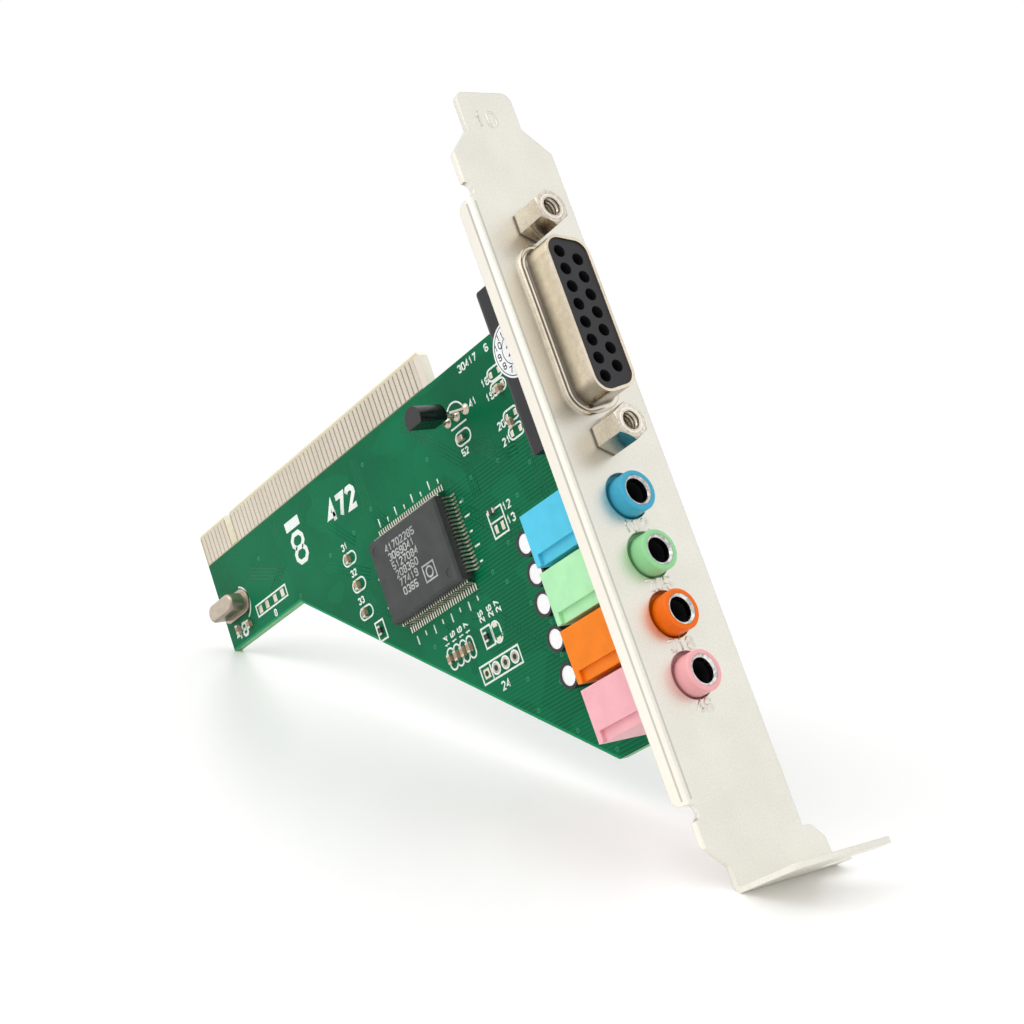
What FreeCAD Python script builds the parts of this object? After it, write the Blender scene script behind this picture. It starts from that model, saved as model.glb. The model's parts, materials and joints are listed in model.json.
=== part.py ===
"""Short sound card with a slot bracket, standing on its bracket fold and one board corner.

Everything is drawn in card directions: +X points out through the bracket, -Y is the
component side, +Z runs from the bracket's screw tab to its tongue. One standing
placement then leans the card back until fold and board corner share the floor.
"""
import FreeCAD, Part
import math
import os
import Sketcher
from FreeCAD import Placement, Rotation, Vector

DOC = FreeCAD.newDocument("sound_card")
os.makedirs("parts", exist_ok=True)

# Driving dimensions in millimetres, one row each
SIZES = [
    ("plate_thick", 0.86, "bracket sheet thickness"),
    ("plate_height", 120.02, "bracket height, tab to tongue end"),
    ("plate_half", 9.21, "half of the bracket width"),
    ("tongue_half", 5.095, "half of the tongue width"),
    ("tongue_root", 113.96, "height where the tongue begins"),
    ("neck_chamfer", 4.115, "slope from tongue to full width"),
    ("shoulder_left", 7.1, "end of the full width on the component side"),
    ("foot_left", 5.9, "tab edge on the component side"),
    ("foot_step", 0.3, "small step beside the tab on the component side"),
    ("foot_right", 12.91, "tab edge on the solder side"),
    ("foot_edge", 12.6, "plate edge above the tab on the solder side"),
    ("foot_rise", 4.1, "height where the foot reaches its own width"),
    ("ear_start", 10.7, "where the solder side ear begins to slope"),
    ("ear_high", 6.3, "top of the solder side ear"),
    ("foot_round", 0.9, "rounding of the foot's corners"),
    ("tab_length", 11.43, "screw tab length from the plate face"),
    ("tab_corner", 1.6, "rounding of the tab corners"),
    ("fold_end", 2.0, "where the fold ends and the flat of the tab begins"),
    ("fold_radius", 1.2, "outer radius of the tab fold"),
    ("bend_radius", 0.3, "inner radius of both folds"),
    ("slot_width", 4.42, "screw slot width"),
    ("slot_centre", 5.08, "screw slot distance from the plate face"),
    ("slot_depth", 5.2, "screw slot depth to the centre of its round end"),
    ("flange_depth", 3.1, "depth of the side flange behind the face"),
    ("flange_low", 12.85, "lower end of the side flange"),
    ("flange_high", 102.8, "upper end of the side flange"),
    ("flange_round", 1.6, "rounding of the flange corners"),
    ("edge_round", 0.85, "outer radius of the flange fold"),
    ("relief_radius", 1.2, "radius of the two fold reliefs"),
    ("jack_hole", 3.5, "radius of the bracket holes for the jacks"),
    ("hole_shift", 0.15, "bracket holes off the jack axes, up and to the component side"),
    ("screw_hole", 1.6, "radius of the bracket holes for the jackscrews"),
    ("board_face", 6.0, "component face distance from the bracket centre"),
    ("board_thick", 1.6, "board thickness"),
    ("board_near", 2.5, "board edge behind the plate face"),
    ("tail_length", 9.5, "board beyond the key notch"),
    ("board_low", 25.2, "lower board edge beside the bracket"),
    ("board_low_run", 26.7, "end of that lower edge"),
    ("arm_low", 75.45, "lower edge of the narrow arm"),
    ("arm_start", 90.95, "start of the narrow arm"),
    ("board_top", 92.0, "upper board edge"),
    ("edge_top", 98.1, "end of the edge connector"),
    ("edge_start", 39.6, "side of the edge connector"),
    ("edge_corner", 1.0, "corner cut of the edge connector"),
    ("edge_bevel", 0.45, "lead-in bevel of the edge connector"),
    ("key_near", 103.9, "near side of the key notch"),
    ("key_wide", 1.9, "width of the key notch"),
    ("key_floor", 0.4, "bottom of the key notch above the board's upper edge"),
    ("contact_pitch", 1.27, "edge contact pitch"),
    ("contact_wide", 0.98, "edge contact width"),
    ("contact_first", 41.87, "first edge contact"),
    ("group_gap", 0.84, "first edge contact after the key notch, from its far side"),
    ("contact_low", 92.2, "inner end of the edge contacts"),
    ("contact_high", 97.4, "outer end of the edge contacts"),
    ("contact_thick", 0.05, "edge contact thickness"),
    ("header_first", 49.12, "first hole of the empty header"),
    ("header_pitch", 2.54, "hole pitch of the empty header"),
    ("header_high", 46.75, "height of the empty header"),
    ("header_hole", 0.5, "hole radius of the empty header"),
    ("port_centre", 81.48, "height of the port centre"),
    ("port_reach", 5.44, "how far the port shell stands out"),
    ("shell_half_long", 12.0, "half length of the shell at mid width"),
    ("shell_half_wide", 3.95, "half width of the shell"),
    ("shell_slant", 0.6965, "ten degree slant over half the shell width"),
    ("shell_wall", 0.45, "shell sheet thickness"),
    ("shell_corner", 2.6, "outer corner radius of the shell"),
    ("shell_gap", 0.25, "room round the shell in the bracket"),
    ("port_plate_long", 39.14, "port plate length"),
    ("port_plate_wide", 12.5, "port plate width"),
    ("port_plate_thick", 0.6, "port plate thickness"),
    ("insert_back", 0.24, "insulator face below the shell rim"),
    ("socket_pitch", 2.77, "socket pitch along a row"),
    ("socket_row", 1.42, "socket row distance from the port centre"),
    ("socket_radius", 0.95, "socket opening radius"),
    ("socket_depth", 4.5, "socket opening depth"),
    ("block_back", 9.7, "back of the port block"),
    ("block_low", 66.4, "lower end of the port block"),
    ("block_high", 92.0, "upper end of the port block"),
    ("block_top", 6.25, "top of the port block"),
    ("block_round", 1.4, "edge rounding of the port block"),
    ("label_radius", 4.2, "radius of the round label"),
    ("label_thick", 0.12, "label thickness"),
    ("label_across", 5.35, "label centre behind the plate face"),
    ("label_high", 81.6, "height of the label centre"),
    ("screw_spacing", 33.32, "spacing of the two jackscrews"),
    ("hex_flat", 2.5, "half of the jackscrew width across flats"),
    ("hex_length", 5.5, "length of the jackscrew head"),
    ("hex_spare", 0.6, "how far the turned end cuts beyond the hexagon's corners"),
    ("thread_radius", 1.42, "thread radius of the jackscrews"),
    ("thread_depth", 4.6, "depth of the jackscrew thread"),
    ("stud_length", 4.2, "jackscrew stud behind the bracket face"),
    ("jack_high_1", 55.7, "height of the top jack"),
    ("jack_high_2", 46.88, "height of the second jack"),
    ("jack_high_3", 38.16, "height of the third jack"),
    ("jack_high_4", 29.35, "height of the lowest jack"),
    ("jack_shift", 0.5, "housing centre above its nose"),
    ("jack_half", 3.95, "half of the housing width"),
    ("jack_top", 6.3, "top of the jack housings"),
    ("jack_back", 15.9, "back of the jack housings"),
    ("jack_side", 0.4, "nose centre toward the component side"),
    ("nose_radius", 3.0, "radius of the jack nose"),
    ("nose_reach", 2.5, "how far the nose stands out"),
    ("nose_round", 0.25, "rounding of the nose rim"),
    ("step_wide", 1.7, "width of the step along a housing"),
    ("step_deep", 0.6, "depth of the step along a housing"),
    ("step_back", 14.9, "end of the step along a housing"),
    ("sleeve_outer", 2.25, "outer radius of the metal sleeve"),
    ("sleeve_inner", 1.8, "bore radius of the metal sleeve"),
    ("sleeve_inset", 0.1, "sleeve below the nose rim"),
    ("sleeve_depth", 11.5, "depth of the sleeve bore"),
    ("chip_across", 54.25, "chip centre behind the plate face"),
    ("chip_high", 68.0, "height of the chip centre"),
    ("chip_half_long", 10.0, "half of the chip length"),
    ("chip_half_wide", 7.0, "half of the chip width"),
    ("chip_stand", 0.2, "chip body above the board"),
    ("chip_thick", 2.8, "chip body thickness"),
    ("chip_chamfer", 0.4, "bevel round the chip body"),
    ("dimple_radius", 0.8, "radius of the chip's round marks"),
    ("dimple_deep", 0.08, "depth of the chip's round marks"),
    ("dimple_in", 1.9, "round marks in from the chip corner"),
    ("lead_pitch", 0.65, "chip lead pitch"),
    ("lead_wide", 0.3, "chip lead width"),
    ("lead_thick", 0.18, "chip lead thickness"),
    ("lead_high", 1.5, "height at which leads leave the chip"),
    ("lead_knee", 0.6, "first straight part of a lead"),
    ("lead_reach", 1.95, "whole reach of a lead"),
    ("can_radius", 1.86, "radius of the capacitor cans"),
    ("sleeve_skin", 0.14, "capacitor sleeve thickness"),
    ("can_height", 5.4, "capacitor height"),
    ("rim_inner", 1.5, "inner radius of the sleeve's folded rim"),
    ("can_across", 24.5, "capacitors behind the plate face"),
    ("can_stagger", 0.6, "middle capacitors set further back"),
    ("can_one", 58.9, "height of the first capacitor"),
    ("can_two", 54.1, "height of the second capacitor"),
    ("can_three", 49.6, "height of the third capacitor"),
    ("can_four", 44.1, "height of the fourth capacitor"),
    ("can_five", 38.4, "height of the fifth capacitor"),
    ("crystal_across", 110.35, "crystal centre behind the plate face"),
    ("crystal_high", 82.2, "height of the crystal centre"),
    ("crystal_half_long", 4.7, "half length of the crystal base"),
    ("crystal_half_wide", 2.2, "half width of the crystal base"),
    ("crystal_rim", 0.55, "width of the base round the can"),
    ("crystal_base_thick", 0.5, "crystal base thickness"),
    ("crystal_can_tall", 3.2, "crystal can height over its base"),
    ("crystal_edge", 0.5, "rounding of the crystal can"),
    ("transistor_radius", 2.05, "transistor body radius"),
    ("transistor_long", 5.6, "transistor body length"),
    ("transistor_flat", 1.15, "flat of the transistor body from its axis"),
    ("transistor_taper", 0.5, "bevel of the transistor body at its leads"),
    ("transistor_lift", 2.9, "room between transistor and board"),
    ("wire_wide", 0.45, "transistor lead width"),
    ("wire_thick", 0.4, "transistor lead thickness"),
    ("wire_straight", 0.5, "straight part of a transistor lead at each end"),
    ("wire_step", 1.27, "transistor lead pitch at the body"),
    ("wire_pitch", 2.52, "transistor lead pitch at the board"),
    ("wire_first", 38.46, "first transistor lead behind the plate face"),
    ("wire_high", 84.7, "height of the transistor leads"),
    ("small_long", 1.6, "length of the small chip parts"),
    ("small_wide", 0.8, "width of the small chip parts"),
    ("small_tall", 0.8, "height of the ceramic capacitors"),
    ("small_low", 0.5, "height of the chip resistors"),
    ("small_end", 0.35, "metal end of the small chip parts"),
    ("joint_radius", 0.8, "radius of a solder joint at the board"),
    ("joint_tip", 0.35, "radius of a solder joint at its tip"),
    ("joint_tall", 1.1, "height of a solder joint"),
    ("port_pin_near", 6.2, "port pins in line with the long socket row"),
    ("port_pin_far", 8.74, "port pins in line with the short socket row"),
    ("jack_pin_front", 3.6, "front pins of a jack behind the plate face"),
    ("jack_pin_middle", 8.4, "middle pin of a jack behind the plate face"),
    ("jack_pin_rear", 13.9, "rear pins of a jack behind the plate face"),
    ("jack_pin_side", 2.5, "outer pins of a jack from its middle"),
    ("can_pin", 0.85, "capacitor leads from the capacitor's axis"),
    ("crystal_pin", 2.44, "crystal leads from the crystal's centre"),
]

SHEET = DOC.addObject("Spreadsheet::Sheet", "Dimensions")
V = {}
for row, (alias, value, meaning) in enumerate(SIZES, start=1):
    SHEET.set("A%d" % row, meaning)
    SHEET.set("B%d" % row, "%g" % value)
    SHEET.setAlias("B%d" % row, alias)
    V[alias] = value
DOC.recompute()

# The board's end and its last contacts follow the key notch
BOARD_FAR = "( key_near + key_wide + tail_length )"
LAST_GROUP = "( key_near + key_wide + group_gap )"

# Standing placement: the fold's outer radius and the board corner both touch the floor
FAR = V["key_near"] + V["key_wide"] + V["tail_length"]
FOLD_X = V["fold_radius"] - V["plate_thick"]
REACH = FAR + FOLD_X
CLIMB = V["arm_low"] - V["fold_radius"]
LEAN = math.atan2(CLIMB, REACH) + math.asin(V["fold_radius"] / math.hypot(REACH, CLIMB))
COS, SIN = math.cos(LEAN), math.sin(LEAN)
LIFT = FAR * SIN - V["arm_low"] * COS
BACK = FAR * COS + V["edge_top"] * SIN
ORIGIN = Vector((BACK - V["tab_length"] * COS) / 2, (V["plate_half"] - V["foot_right"]) / 2, LIFT)
STAND = Placement(ORIGIN, Rotation(Vector(0, 1, 0), -math.degrees(LEAN)))

NODES = {}


def cell(formula):
    """Put the sheet's name before every alias in a short formula."""
    return " ".join("Dimensions." + w if w in V else w for w in formula.split())


def new_body(label, placement=None):
    """Start a sub-part that takes the standing placement."""
    body = DOC.addObject("PartDesign::Body", label)
    body.Label = label
    body.AllowCompound = True
    body.Placement = placement or STAND
    NODES[label] = body
    return body


def new_sketch(body, role, offset="0"):
    """Attach a sketch to one origin plane, shifted along its normal by a formula."""
    sketch = body.newObject("Sketcher::SketchObject", body.Label + "_sketch")
    plane = [f for f in body.Origin.OriginFeatures if f.Role == role][0]
    sketch.AttachmentSupport = [(plane, "")]
    sketch.MapMode = "FlatFace"
    sketch.setExpression(".AttachmentOffset.Base.z", cell(offset))
    return sketch


def pin(sketch, geo, pos, x, y):
    """Hold one sketch point at two formulas measured from the origin."""
    for kind, formula in (("DistanceX", x), ("DistanceY", y)):
        at = sketch.getPoint(geo, pos)
        now = at.x if kind == "DistanceX" else at.y
        number = sketch.addConstraint(Sketcher.Constraint(kind, -1, 1, geo, pos, now))
        sketch.setExpression("Constraints[%d]" % number, cell(formula))


def polygon(sketch, corners):
    """Draw a closed outline whose corners are pairs of formulas."""
    count = len(corners)
    turn = 2 * math.pi / count
    start = sketch.GeometryCount
    ring = [Vector(math.cos(k * turn), math.sin(k * turn), 0) for k in range(count)]
    for k in range(count):
        sketch.addGeometry(Part.LineSegment(ring[k], ring[(k + 1) % count]))
    for k in range(count):
        after = start + (k + 1) % count
        sketch.addConstraint(Sketcher.Constraint("Coincident", start + k, 2, after, 1))
    for k, (x, y) in enumerate(corners):
        pin(sketch, start + k, 1, x, y)


def rectangle(sketch, low_x, high_x, low_y, high_y):
    """Draw a rectangle between four formulas."""
    polygon(sketch, [(low_x, low_y), (high_x, low_y), (high_x, high_y), (low_x, high_y)])


def circle(sketch, x, y, radius):
    """Draw a circle with formulas for its centre and radius."""
    geo = sketch.addGeometry(Part.Circle(Vector(1, 1, 0), Vector(0, 0, 1), 1))
    number = sketch.addConstraint(Sketcher.Constraint("Radius", geo, 1))
    sketch.setExpression("Constraints[%d]" % number, cell(radius))
    pin(sketch, geo, 3, x, y)


def pad(body, sketch, length, reverse=False):
    """Raise a sketch along its normal."""
    feature = body.newObject("PartDesign::Pad", body.Label + "_pad")
    feature.Profile = sketch
    feature.Reversed = reverse
    feature.setExpression("Length", cell(length))
    sketch.Visibility = False
    return feature


def pocket(body, sketch, depth=None, reverse=False):
    """Cut a sketch against its normal, through everything if no depth is named."""
    feature = body.newObject("PartDesign::Pocket", body.Label + "_pocket")
    feature.Profile = sketch
    feature.Reversed = reverse
    if depth is None:
        feature.Type = "ThroughAll"
        feature.Midplane = True
    else:
        feature.setExpression("Length", cell(depth))
    sketch.Visibility = False
    return feature


def pattern(body, original, role, pitch, count, reverse=False):
    """Repeat a feature along one origin axis."""
    feature = body.newObject("PartDesign::LinearPattern", body.Label + "_row")
    axis = [f for f in body.Origin.OriginFeatures if f.Role == role][0]
    feature.Originals = [original]
    feature.Direction = (axis, [""])
    feature.Reversed = reverse
    feature.Occurrences = count
    feature.setExpression("Length", cell("( %d ) * %s" % (count - 1, pitch)))
    body.Tip = feature
    return feature


def turn_round(body, sketch, height, length):
    """Cut a sketch all round a line along X at a height, from the plate face to a length."""
    line = Part.LineSegment(Vector(0, 1, 0), Vector(1, 1, 0))
    axis = sketch.addGeometry(line, True)
    pin(sketch, axis, 1, "0", height)
    pin(sketch, axis, 2, length, height)
    feature = body.newObject("PartDesign::Groove", body.Label + "_groove")
    feature.Profile = sketch
    feature.ReferenceAxis = (sketch, ["Axis0"])
    feature.Angle = 360
    sketch.Visibility = False
    return feature


def edges_where(feature, test):
    """List the edges of a feature whose bounding box passes a test."""
    edges = feature.Shape.Edges
    return ["Edge%d" % k for k, edge in enumerate(edges, start=1) if test(edge.BoundBox)]


def near(a, b, slack=0.02):
    """Tell whether two lengths agree within a small slack."""
    return abs(a - b) < slack


def dress(body, kind, feature, size, test):
    """Fillet or chamfer the edges that pass a test."""
    DOC.recompute()
    names = edges_where(feature, test)
    if not names:
        raise RuntimeError("no edge found for " + body.Label)
    dressed = body.newObject("PartDesign::" + kind, body.Label + "_" + kind.lower())
    dressed.Base = (feature, names)
    dressed.setExpression("Radius" if kind == "Fillet" else "Size", cell(size))
    return dressed


def along(box, axis):
    """Tell whether an edge runs straight along one axis."""
    spans = {"x": box.XLength, "y": box.YLength, "z": box.ZLength}
    others = [spans[k] for k in spans if k != axis]
    return spans[axis] > 0.05 and max(others) < 0.01


# Slot bracket
def make_bracket():
    """Sheet plate with tongue, side flange, the fold of the screw tab and all its openings."""
    body = new_body("bracket")
    face = new_sketch(body, "YZ_Plane")
    polygon(face, [
        ("- foot_left", "0"),
        ("foot_right", "0"),
        ("foot_edge", "foot_rise"),
        ("ear_start", "ear_high"),
        ("plate_half", "ear_high"),
        ("plate_half", "tongue_root - neck_chamfer"),
        ("tongue_half", "tongue_root"),
        ("tongue_half", "plate_height"),
        ("- tongue_half", "plate_height"),
        ("- tongue_half", "tongue_root"),
        ("- plate_half", "tongue_root - neck_chamfer"),
        ("- plate_half", "shoulder_left"),
        ("- foot_left - foot_step", "foot_rise"),
        ("- foot_left", "foot_rise - foot_step"),
    ])
    plate = pad(body, face, "plate_thick", reverse=True)
    tab = new_sketch(body, "XY_Plane")
    rectangle(tab, "- plate_thick", "fold_end", "- foot_left", "foot_right")
    pad(body, tab, "plate_thick")
    side = new_sketch(body, "XZ_Plane", "plate_half - plate_thick")
    rectangle(side, "- flange_depth", "0", "flange_low", "flange_high")
    flange = pad(body, side, "plate_thick")
    reliefs = new_sketch(body, "YZ_Plane")
    circle(reliefs, "- plate_half", "flange_low - relief_radius", "relief_radius")
    circle(reliefs, "- plate_half", "flange_high + relief_radius", "relief_radius")
    pocket(body, reliefs)
    openings = new_sketch(body, "YZ_Plane")
    for k in range(4):
        circle(openings, "- jack_side - hole_shift", "jack_high_%d + hole_shift" % (k + 1),
               "jack_hole")
    circle(openings, "0", "port_centre + screw_spacing / 2", "screw_hole")
    circle(openings, "0", "port_centre - screw_spacing / 2", "screw_hole")
    pocket(body, openings)
    window = new_sketch(body, "YZ_Plane")
    shell_outline(window, "+ shell_gap")
    last = pocket(body, window)
    thick = V["plate_thick"]
    corner = V["shell_corner"]
    last = dress(body, "Fillet", last, "shell_corner", lambda b: (
        along(b, "x") and abs(b.Center.z - V["port_centre"]) < V["shell_half_long"] + corner
        and abs(b.Center.y) < V["shell_half_wide"] + 1 and b.XLength < thick + 0.1))
    last = dress(body, "Fillet", last, "fold_radius", lambda b: (
        along(b, "y") and near(b.Center.x, -thick) and near(b.Center.z, 0)))
    last = dress(body, "Fillet", last, "edge_round", lambda b: (
        along(b, "z") and near(b.Center.x, 0) and near(b.Center.y, -V["plate_half"])
        and b.ZLength > V["flange_high"] / 2))
    last = dress(body, "Fillet", last, "bend_radius", lambda b: (
        along(b, "y") and near(b.Center.x, 0) and near(b.Center.z, thick)
        or along(b, "z") and near(b.Center.x, -thick) and near(b.Center.y, thick - V["plate_half"])
        and b.ZLength > V["flange_high"] / 2))
    last = dress(body, "Fillet", last, "flange_round", lambda b: (
        along(b, "y") and near(b.Center.x, -V["flange_depth"])))
    last = dress(body, "Fillet", last, "tab_corner", lambda b: (
        along(b, "x") and near(b.Center.z, V["plate_height"])))
    corners = (
        (-V["plate_half"], V["shoulder_left"]),
        (V["foot_edge"], V["foot_rise"]),
        (V["ear_start"], V["ear_high"]),
    )
    dress(body, "Fillet", last, "foot_round", lambda b: along(b, "x") and any(
        near(b.Center.y, y) and near(b.Center.z, z) for y, z in corners))


def make_tab():
    """Flat of the screw tab with its open slot, in one sheet with the bracket."""
    body = new_body("bracket_tab")
    flat = new_sketch(body, "XY_Plane")
    rectangle(flat, "fold_end", "tab_length", "- foot_left", "foot_right")
    sheet = pad(body, flat, "plate_thick")
    dress(body, "Fillet", sheet, "tab_corner", lambda b: (
        along(b, "z") and near(b.Center.x, V["tab_length"])))
    slot = new_sketch(body, "XY_Plane")
    rectangle(slot, "slot_centre - slot_width / 2", "slot_centre + slot_width / 2",
              "foot_right - slot_depth", "foot_right + slot_depth")
    pocket(body, slot)
    slot_end = new_sketch(body, "XY_Plane")
    circle(slot_end, "slot_centre", "foot_right - slot_depth", "slot_width / 2")
    pocket(body, slot_end)


def shell_outline(sketch, grow="+ 0"):
    """Draw the port's slanted outline, grown or shrunk all round."""
    wide = "shell_half_wide " + grow
    long_side = "shell_half_long + shell_slant " + grow
    short_side = "shell_half_long - shell_slant " + grow
    polygon(sketch, [
        ("- ( %s )" % wide, "port_centre - ( %s )" % long_side),
        (wide, "port_centre - ( %s )" % short_side),
        (wide, "port_centre + ( %s )" % short_side),
        ("- ( %s )" % wide, "port_centre + ( %s )" % long_side),
    ])


# Circuit board and its edge contacts
def make_board():
    """Board with a narrow arm, keyed edge connector and an empty header row."""
    body = new_body("circuit_board")
    outline = new_sketch(body, "XZ_Plane", "- ( board_face + board_thick )")
    polygon(outline, [
        ("- board_near", "board_low"),
        ("- board_near", "board_top"),
        ("- edge_start", "board_top"),
        ("- edge_start", "edge_top - edge_corner"),
        ("- edge_start - edge_corner", "edge_top"),
        ("- key_near", "edge_top"),
        ("- key_near", "board_top + key_floor"),
        ("- key_near - key_wide", "board_top + key_floor"),
        ("- key_near - key_wide", "edge_top"),
        ("- " + BOARD_FAR, "edge_top"),
        ("- " + BOARD_FAR, "arm_low"),
        ("- arm_start", "arm_low"),
        ("- board_low_run", "board_low"),
    ])
    sheet = pad(body, outline, "board_thick")
    dress(body, "Chamfer", sheet, "edge_bevel", lambda b: (
        along(b, "x") and near(b.Center.z, V["edge_top"])))
    holes = new_sketch(body, "XZ_Plane", "- board_face")
    for k in range(4):
        circle(holes, "- header_first + %d * header_pitch" % k, "header_high", "header_hole")
    pocket(body, holes)


def make_contacts(label, level, reverse):
    """Two rows of flat contacts on one face of the edge connector."""
    body = new_body(label)
    for first, count in (("contact_first", 49), (LAST_GROUP, 7)):
        sketch = new_sketch(body, "XZ_Plane", level)
        rectangle(sketch, "- %s - contact_wide / 2" % first, "- %s + contact_wide / 2" % first,
                  "contact_low", "contact_high")
        one = pad(body, sketch, "contact_thick", reverse)
        pattern(body, one, "X_Axis", "contact_pitch", count, reverse=True)


# Fifteen-way port
def make_port():
    """Port plate and shell, insulator with its sockets, and the block behind."""
    shell = new_body("port_shell")
    plate = new_sketch(shell, "YZ_Plane", "- plate_thick")
    rectangle(plate, "- port_plate_wide / 2", "port_plate_wide / 2",
              "port_centre - port_plate_long / 2", "port_centre + port_plate_long / 2")
    pad(shell, plate, "port_plate_thick", reverse=True)
    skirt = new_sketch(shell, "YZ_Plane", "- plate_thick")
    shell_outline(skirt)
    pad(shell, skirt, "port_reach + plate_thick")
    bore = new_sketch(shell, "YZ_Plane")
    shell_outline(bore, "- shell_wall")
    opened = pocket(shell, bore)
    reach = V["port_reach"]
    inside = V["shell_half_wide"] - V["shell_wall"]
    for place, size in ((inside, "shell_corner - shell_wall"), (inside + V["shell_wall"], "shell_corner")):
        opened = dress(shell, "Fillet", opened, size, lambda b, place=place: (
            along(b, "x") and b.XLength > reach and near(abs(b.Center.y), place)))
    holes = new_sketch(shell, "YZ_Plane")
    circle(holes, "0", "port_centre + screw_spacing / 2", "screw_hole")
    circle(holes, "0", "port_centre - screw_spacing / 2", "screw_hole")
    pocket(shell, holes)

    insert = new_body("port_insulator")
    core = new_sketch(insert, "YZ_Plane", "port_reach - insert_back")
    shell_outline(core, "- shell_wall")
    solid = pad(insert, core, "port_reach - insert_back + plate_thick + port_plate_thick",
                reverse=True)
    dress(insert, "Fillet", solid, "shell_corner - shell_wall", lambda b: (
        along(b, "x") and b.XLength > V["port_reach"]))
    for side, count in (("-", 8), ("", 7)):
        one = new_sketch(insert, "YZ_Plane", "port_reach - insert_back")
        circle(one, side + " socket_row", "port_centre - %g * socket_pitch" % ((count - 1) / 2),
               "socket_radius")
        socket = pocket(insert, one, "socket_depth")
        pattern(insert, socket, "Z_Axis", "socket_pitch", count)

    block = new_body("port_block")
    base = new_sketch(block, "YZ_Plane", "- plate_thick - port_plate_thick")
    rectangle(base, "- block_top", "board_face", "block_low", "block_high")
    solid = pad(block, base, "block_back - plate_thick - port_plate_thick", reverse=True)
    dress(block, "Fillet", solid, "block_round", lambda b: (
        along(b, "y") and near(b.Center.x, -V["block_back"])
        or along(b, "z") and near(b.Center.x, -V["block_back"]) and b.Center.y < 0))

    label = new_body("round_label")
    disc = new_sketch(label, "XZ_Plane", "block_top")
    circle(disc, "- label_across", "label_high", "label_radius")
    pad(label, disc, "label_thick")


def make_jackscrew(label, sign):
    """Hexagonal jackscrew with a threaded end and a stud through the bracket."""
    body = new_body(label)
    height = "port_centre %s screw_spacing / 2" % sign
    head = new_sketch(body, "YZ_Plane")
    corner = "hex_flat / cos(30)"
    polygon(head, [
        ("%s * cos(%d)" % (corner, turn), "%s + %s * sin(%d)" % (height, corner, turn))
        for turn in range(30, 390, 60)])
    pad(body, head, "hex_length")
    outside = "%s + %s + hex_spare" % (height, corner)
    crown = new_sketch(body, "XZ_Plane")
    polygon(crown, [
        ("hex_length", height + " + hex_flat"),
        ("hex_length", outside),
        ("hex_length - ( %s + hex_spare - hex_flat ) * tan(30)" % corner, outside),
    ])
    turn_round(body, crown, height, "hex_length")
    stud = new_sketch(body, "YZ_Plane")
    circle(stud, "0", height, "thread_radius")
    pad(body, stud, "stud_length", reverse=True)
    thread = new_sketch(body, "YZ_Plane", "hex_length")
    circle(thread, "0", height, "thread_radius")
    pocket(body, thread, "thread_depth")


# Four audio jacks
def make_jack(label, number):
    """Square housing on the board with a round nose through the bracket."""
    body = new_body(label)
    middle = "jack_high_%d" % (number + 1)
    back = new_sketch(body, "YZ_Plane", "- plate_thick")
    rectangle(back, "- jack_top", "board_face", middle + " + jack_shift - jack_half",
              middle + " + jack_shift + jack_half")
    pad(body, back, "jack_back - plate_thick", reverse=True)
    step = new_sketch(body, "XZ_Plane", "jack_top")
    rectangle(step, "- step_back", "0", middle + " + jack_shift - jack_half - 1",
              middle + " + jack_shift - jack_half + step_wide")
    pocket(body, step, "step_deep")
    nose = new_sketch(body, "YZ_Plane", "- plate_thick")
    circle(nose, "- jack_side", middle, "nose_radius")
    last = pad(body, nose, "nose_reach + plate_thick")
    dress(body, "Fillet", last, "nose_round", lambda b: (
        near(b.XMax, V["nose_reach"]) and b.XLength < 0.01))
    bore = new_sketch(body, "YZ_Plane", "nose_reach")
    circle(bore, "- jack_side", middle, "sleeve_outer")
    pocket(body, bore, "sleeve_depth + sleeve_inset")


def make_jack_sleeves():
    """Four metal sleeves that line the jack bores."""
    body = new_body("jack_sleeves")
    sketch = new_sketch(body, "YZ_Plane", "nose_reach - sleeve_inset")
    for number in range(4):
        middle = "jack_high_%d" % (number + 1)
        circle(sketch, "- jack_side", middle, "sleeve_outer")
        circle(sketch, "- jack_side", middle, "sleeve_inner")
    pad(body, sketch, "sleeve_depth", reverse=True)


# Audio chip
def make_chip():
    """Chip body with a bevel and two round marks."""
    body = new_body("audio_chip")
    top = "board_face - chip_stand - chip_thick"
    base = new_sketch(body, "XZ_Plane", "- ( board_face - chip_stand )")
    rectangle(base, "- chip_across - chip_half_long", "- chip_across + chip_half_long",
              "chip_high - chip_half_wide", "chip_high + chip_half_wide")
    solid = pad(body, base, "chip_thick")
    level = V["board_face"] - V["chip_stand"] - V["chip_thick"]
    dress(body, "Chamfer", solid, "chip_chamfer", lambda b: (
        near(b.Center.y, level) and b.YLength < 0.01))
    marks = new_sketch(body, "XZ_Plane", "- ( %s )" % top)
    for side, end in (("+", "-"), ("-", "+")):
        circle(marks, "- chip_across %s ( chip_half_long - dimple_in )" % end,
               "chip_high %s ( chip_half_wide - dimple_in )" % side, "dimple_radius")
    pocket(body, marks, "dimple_deep")


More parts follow.
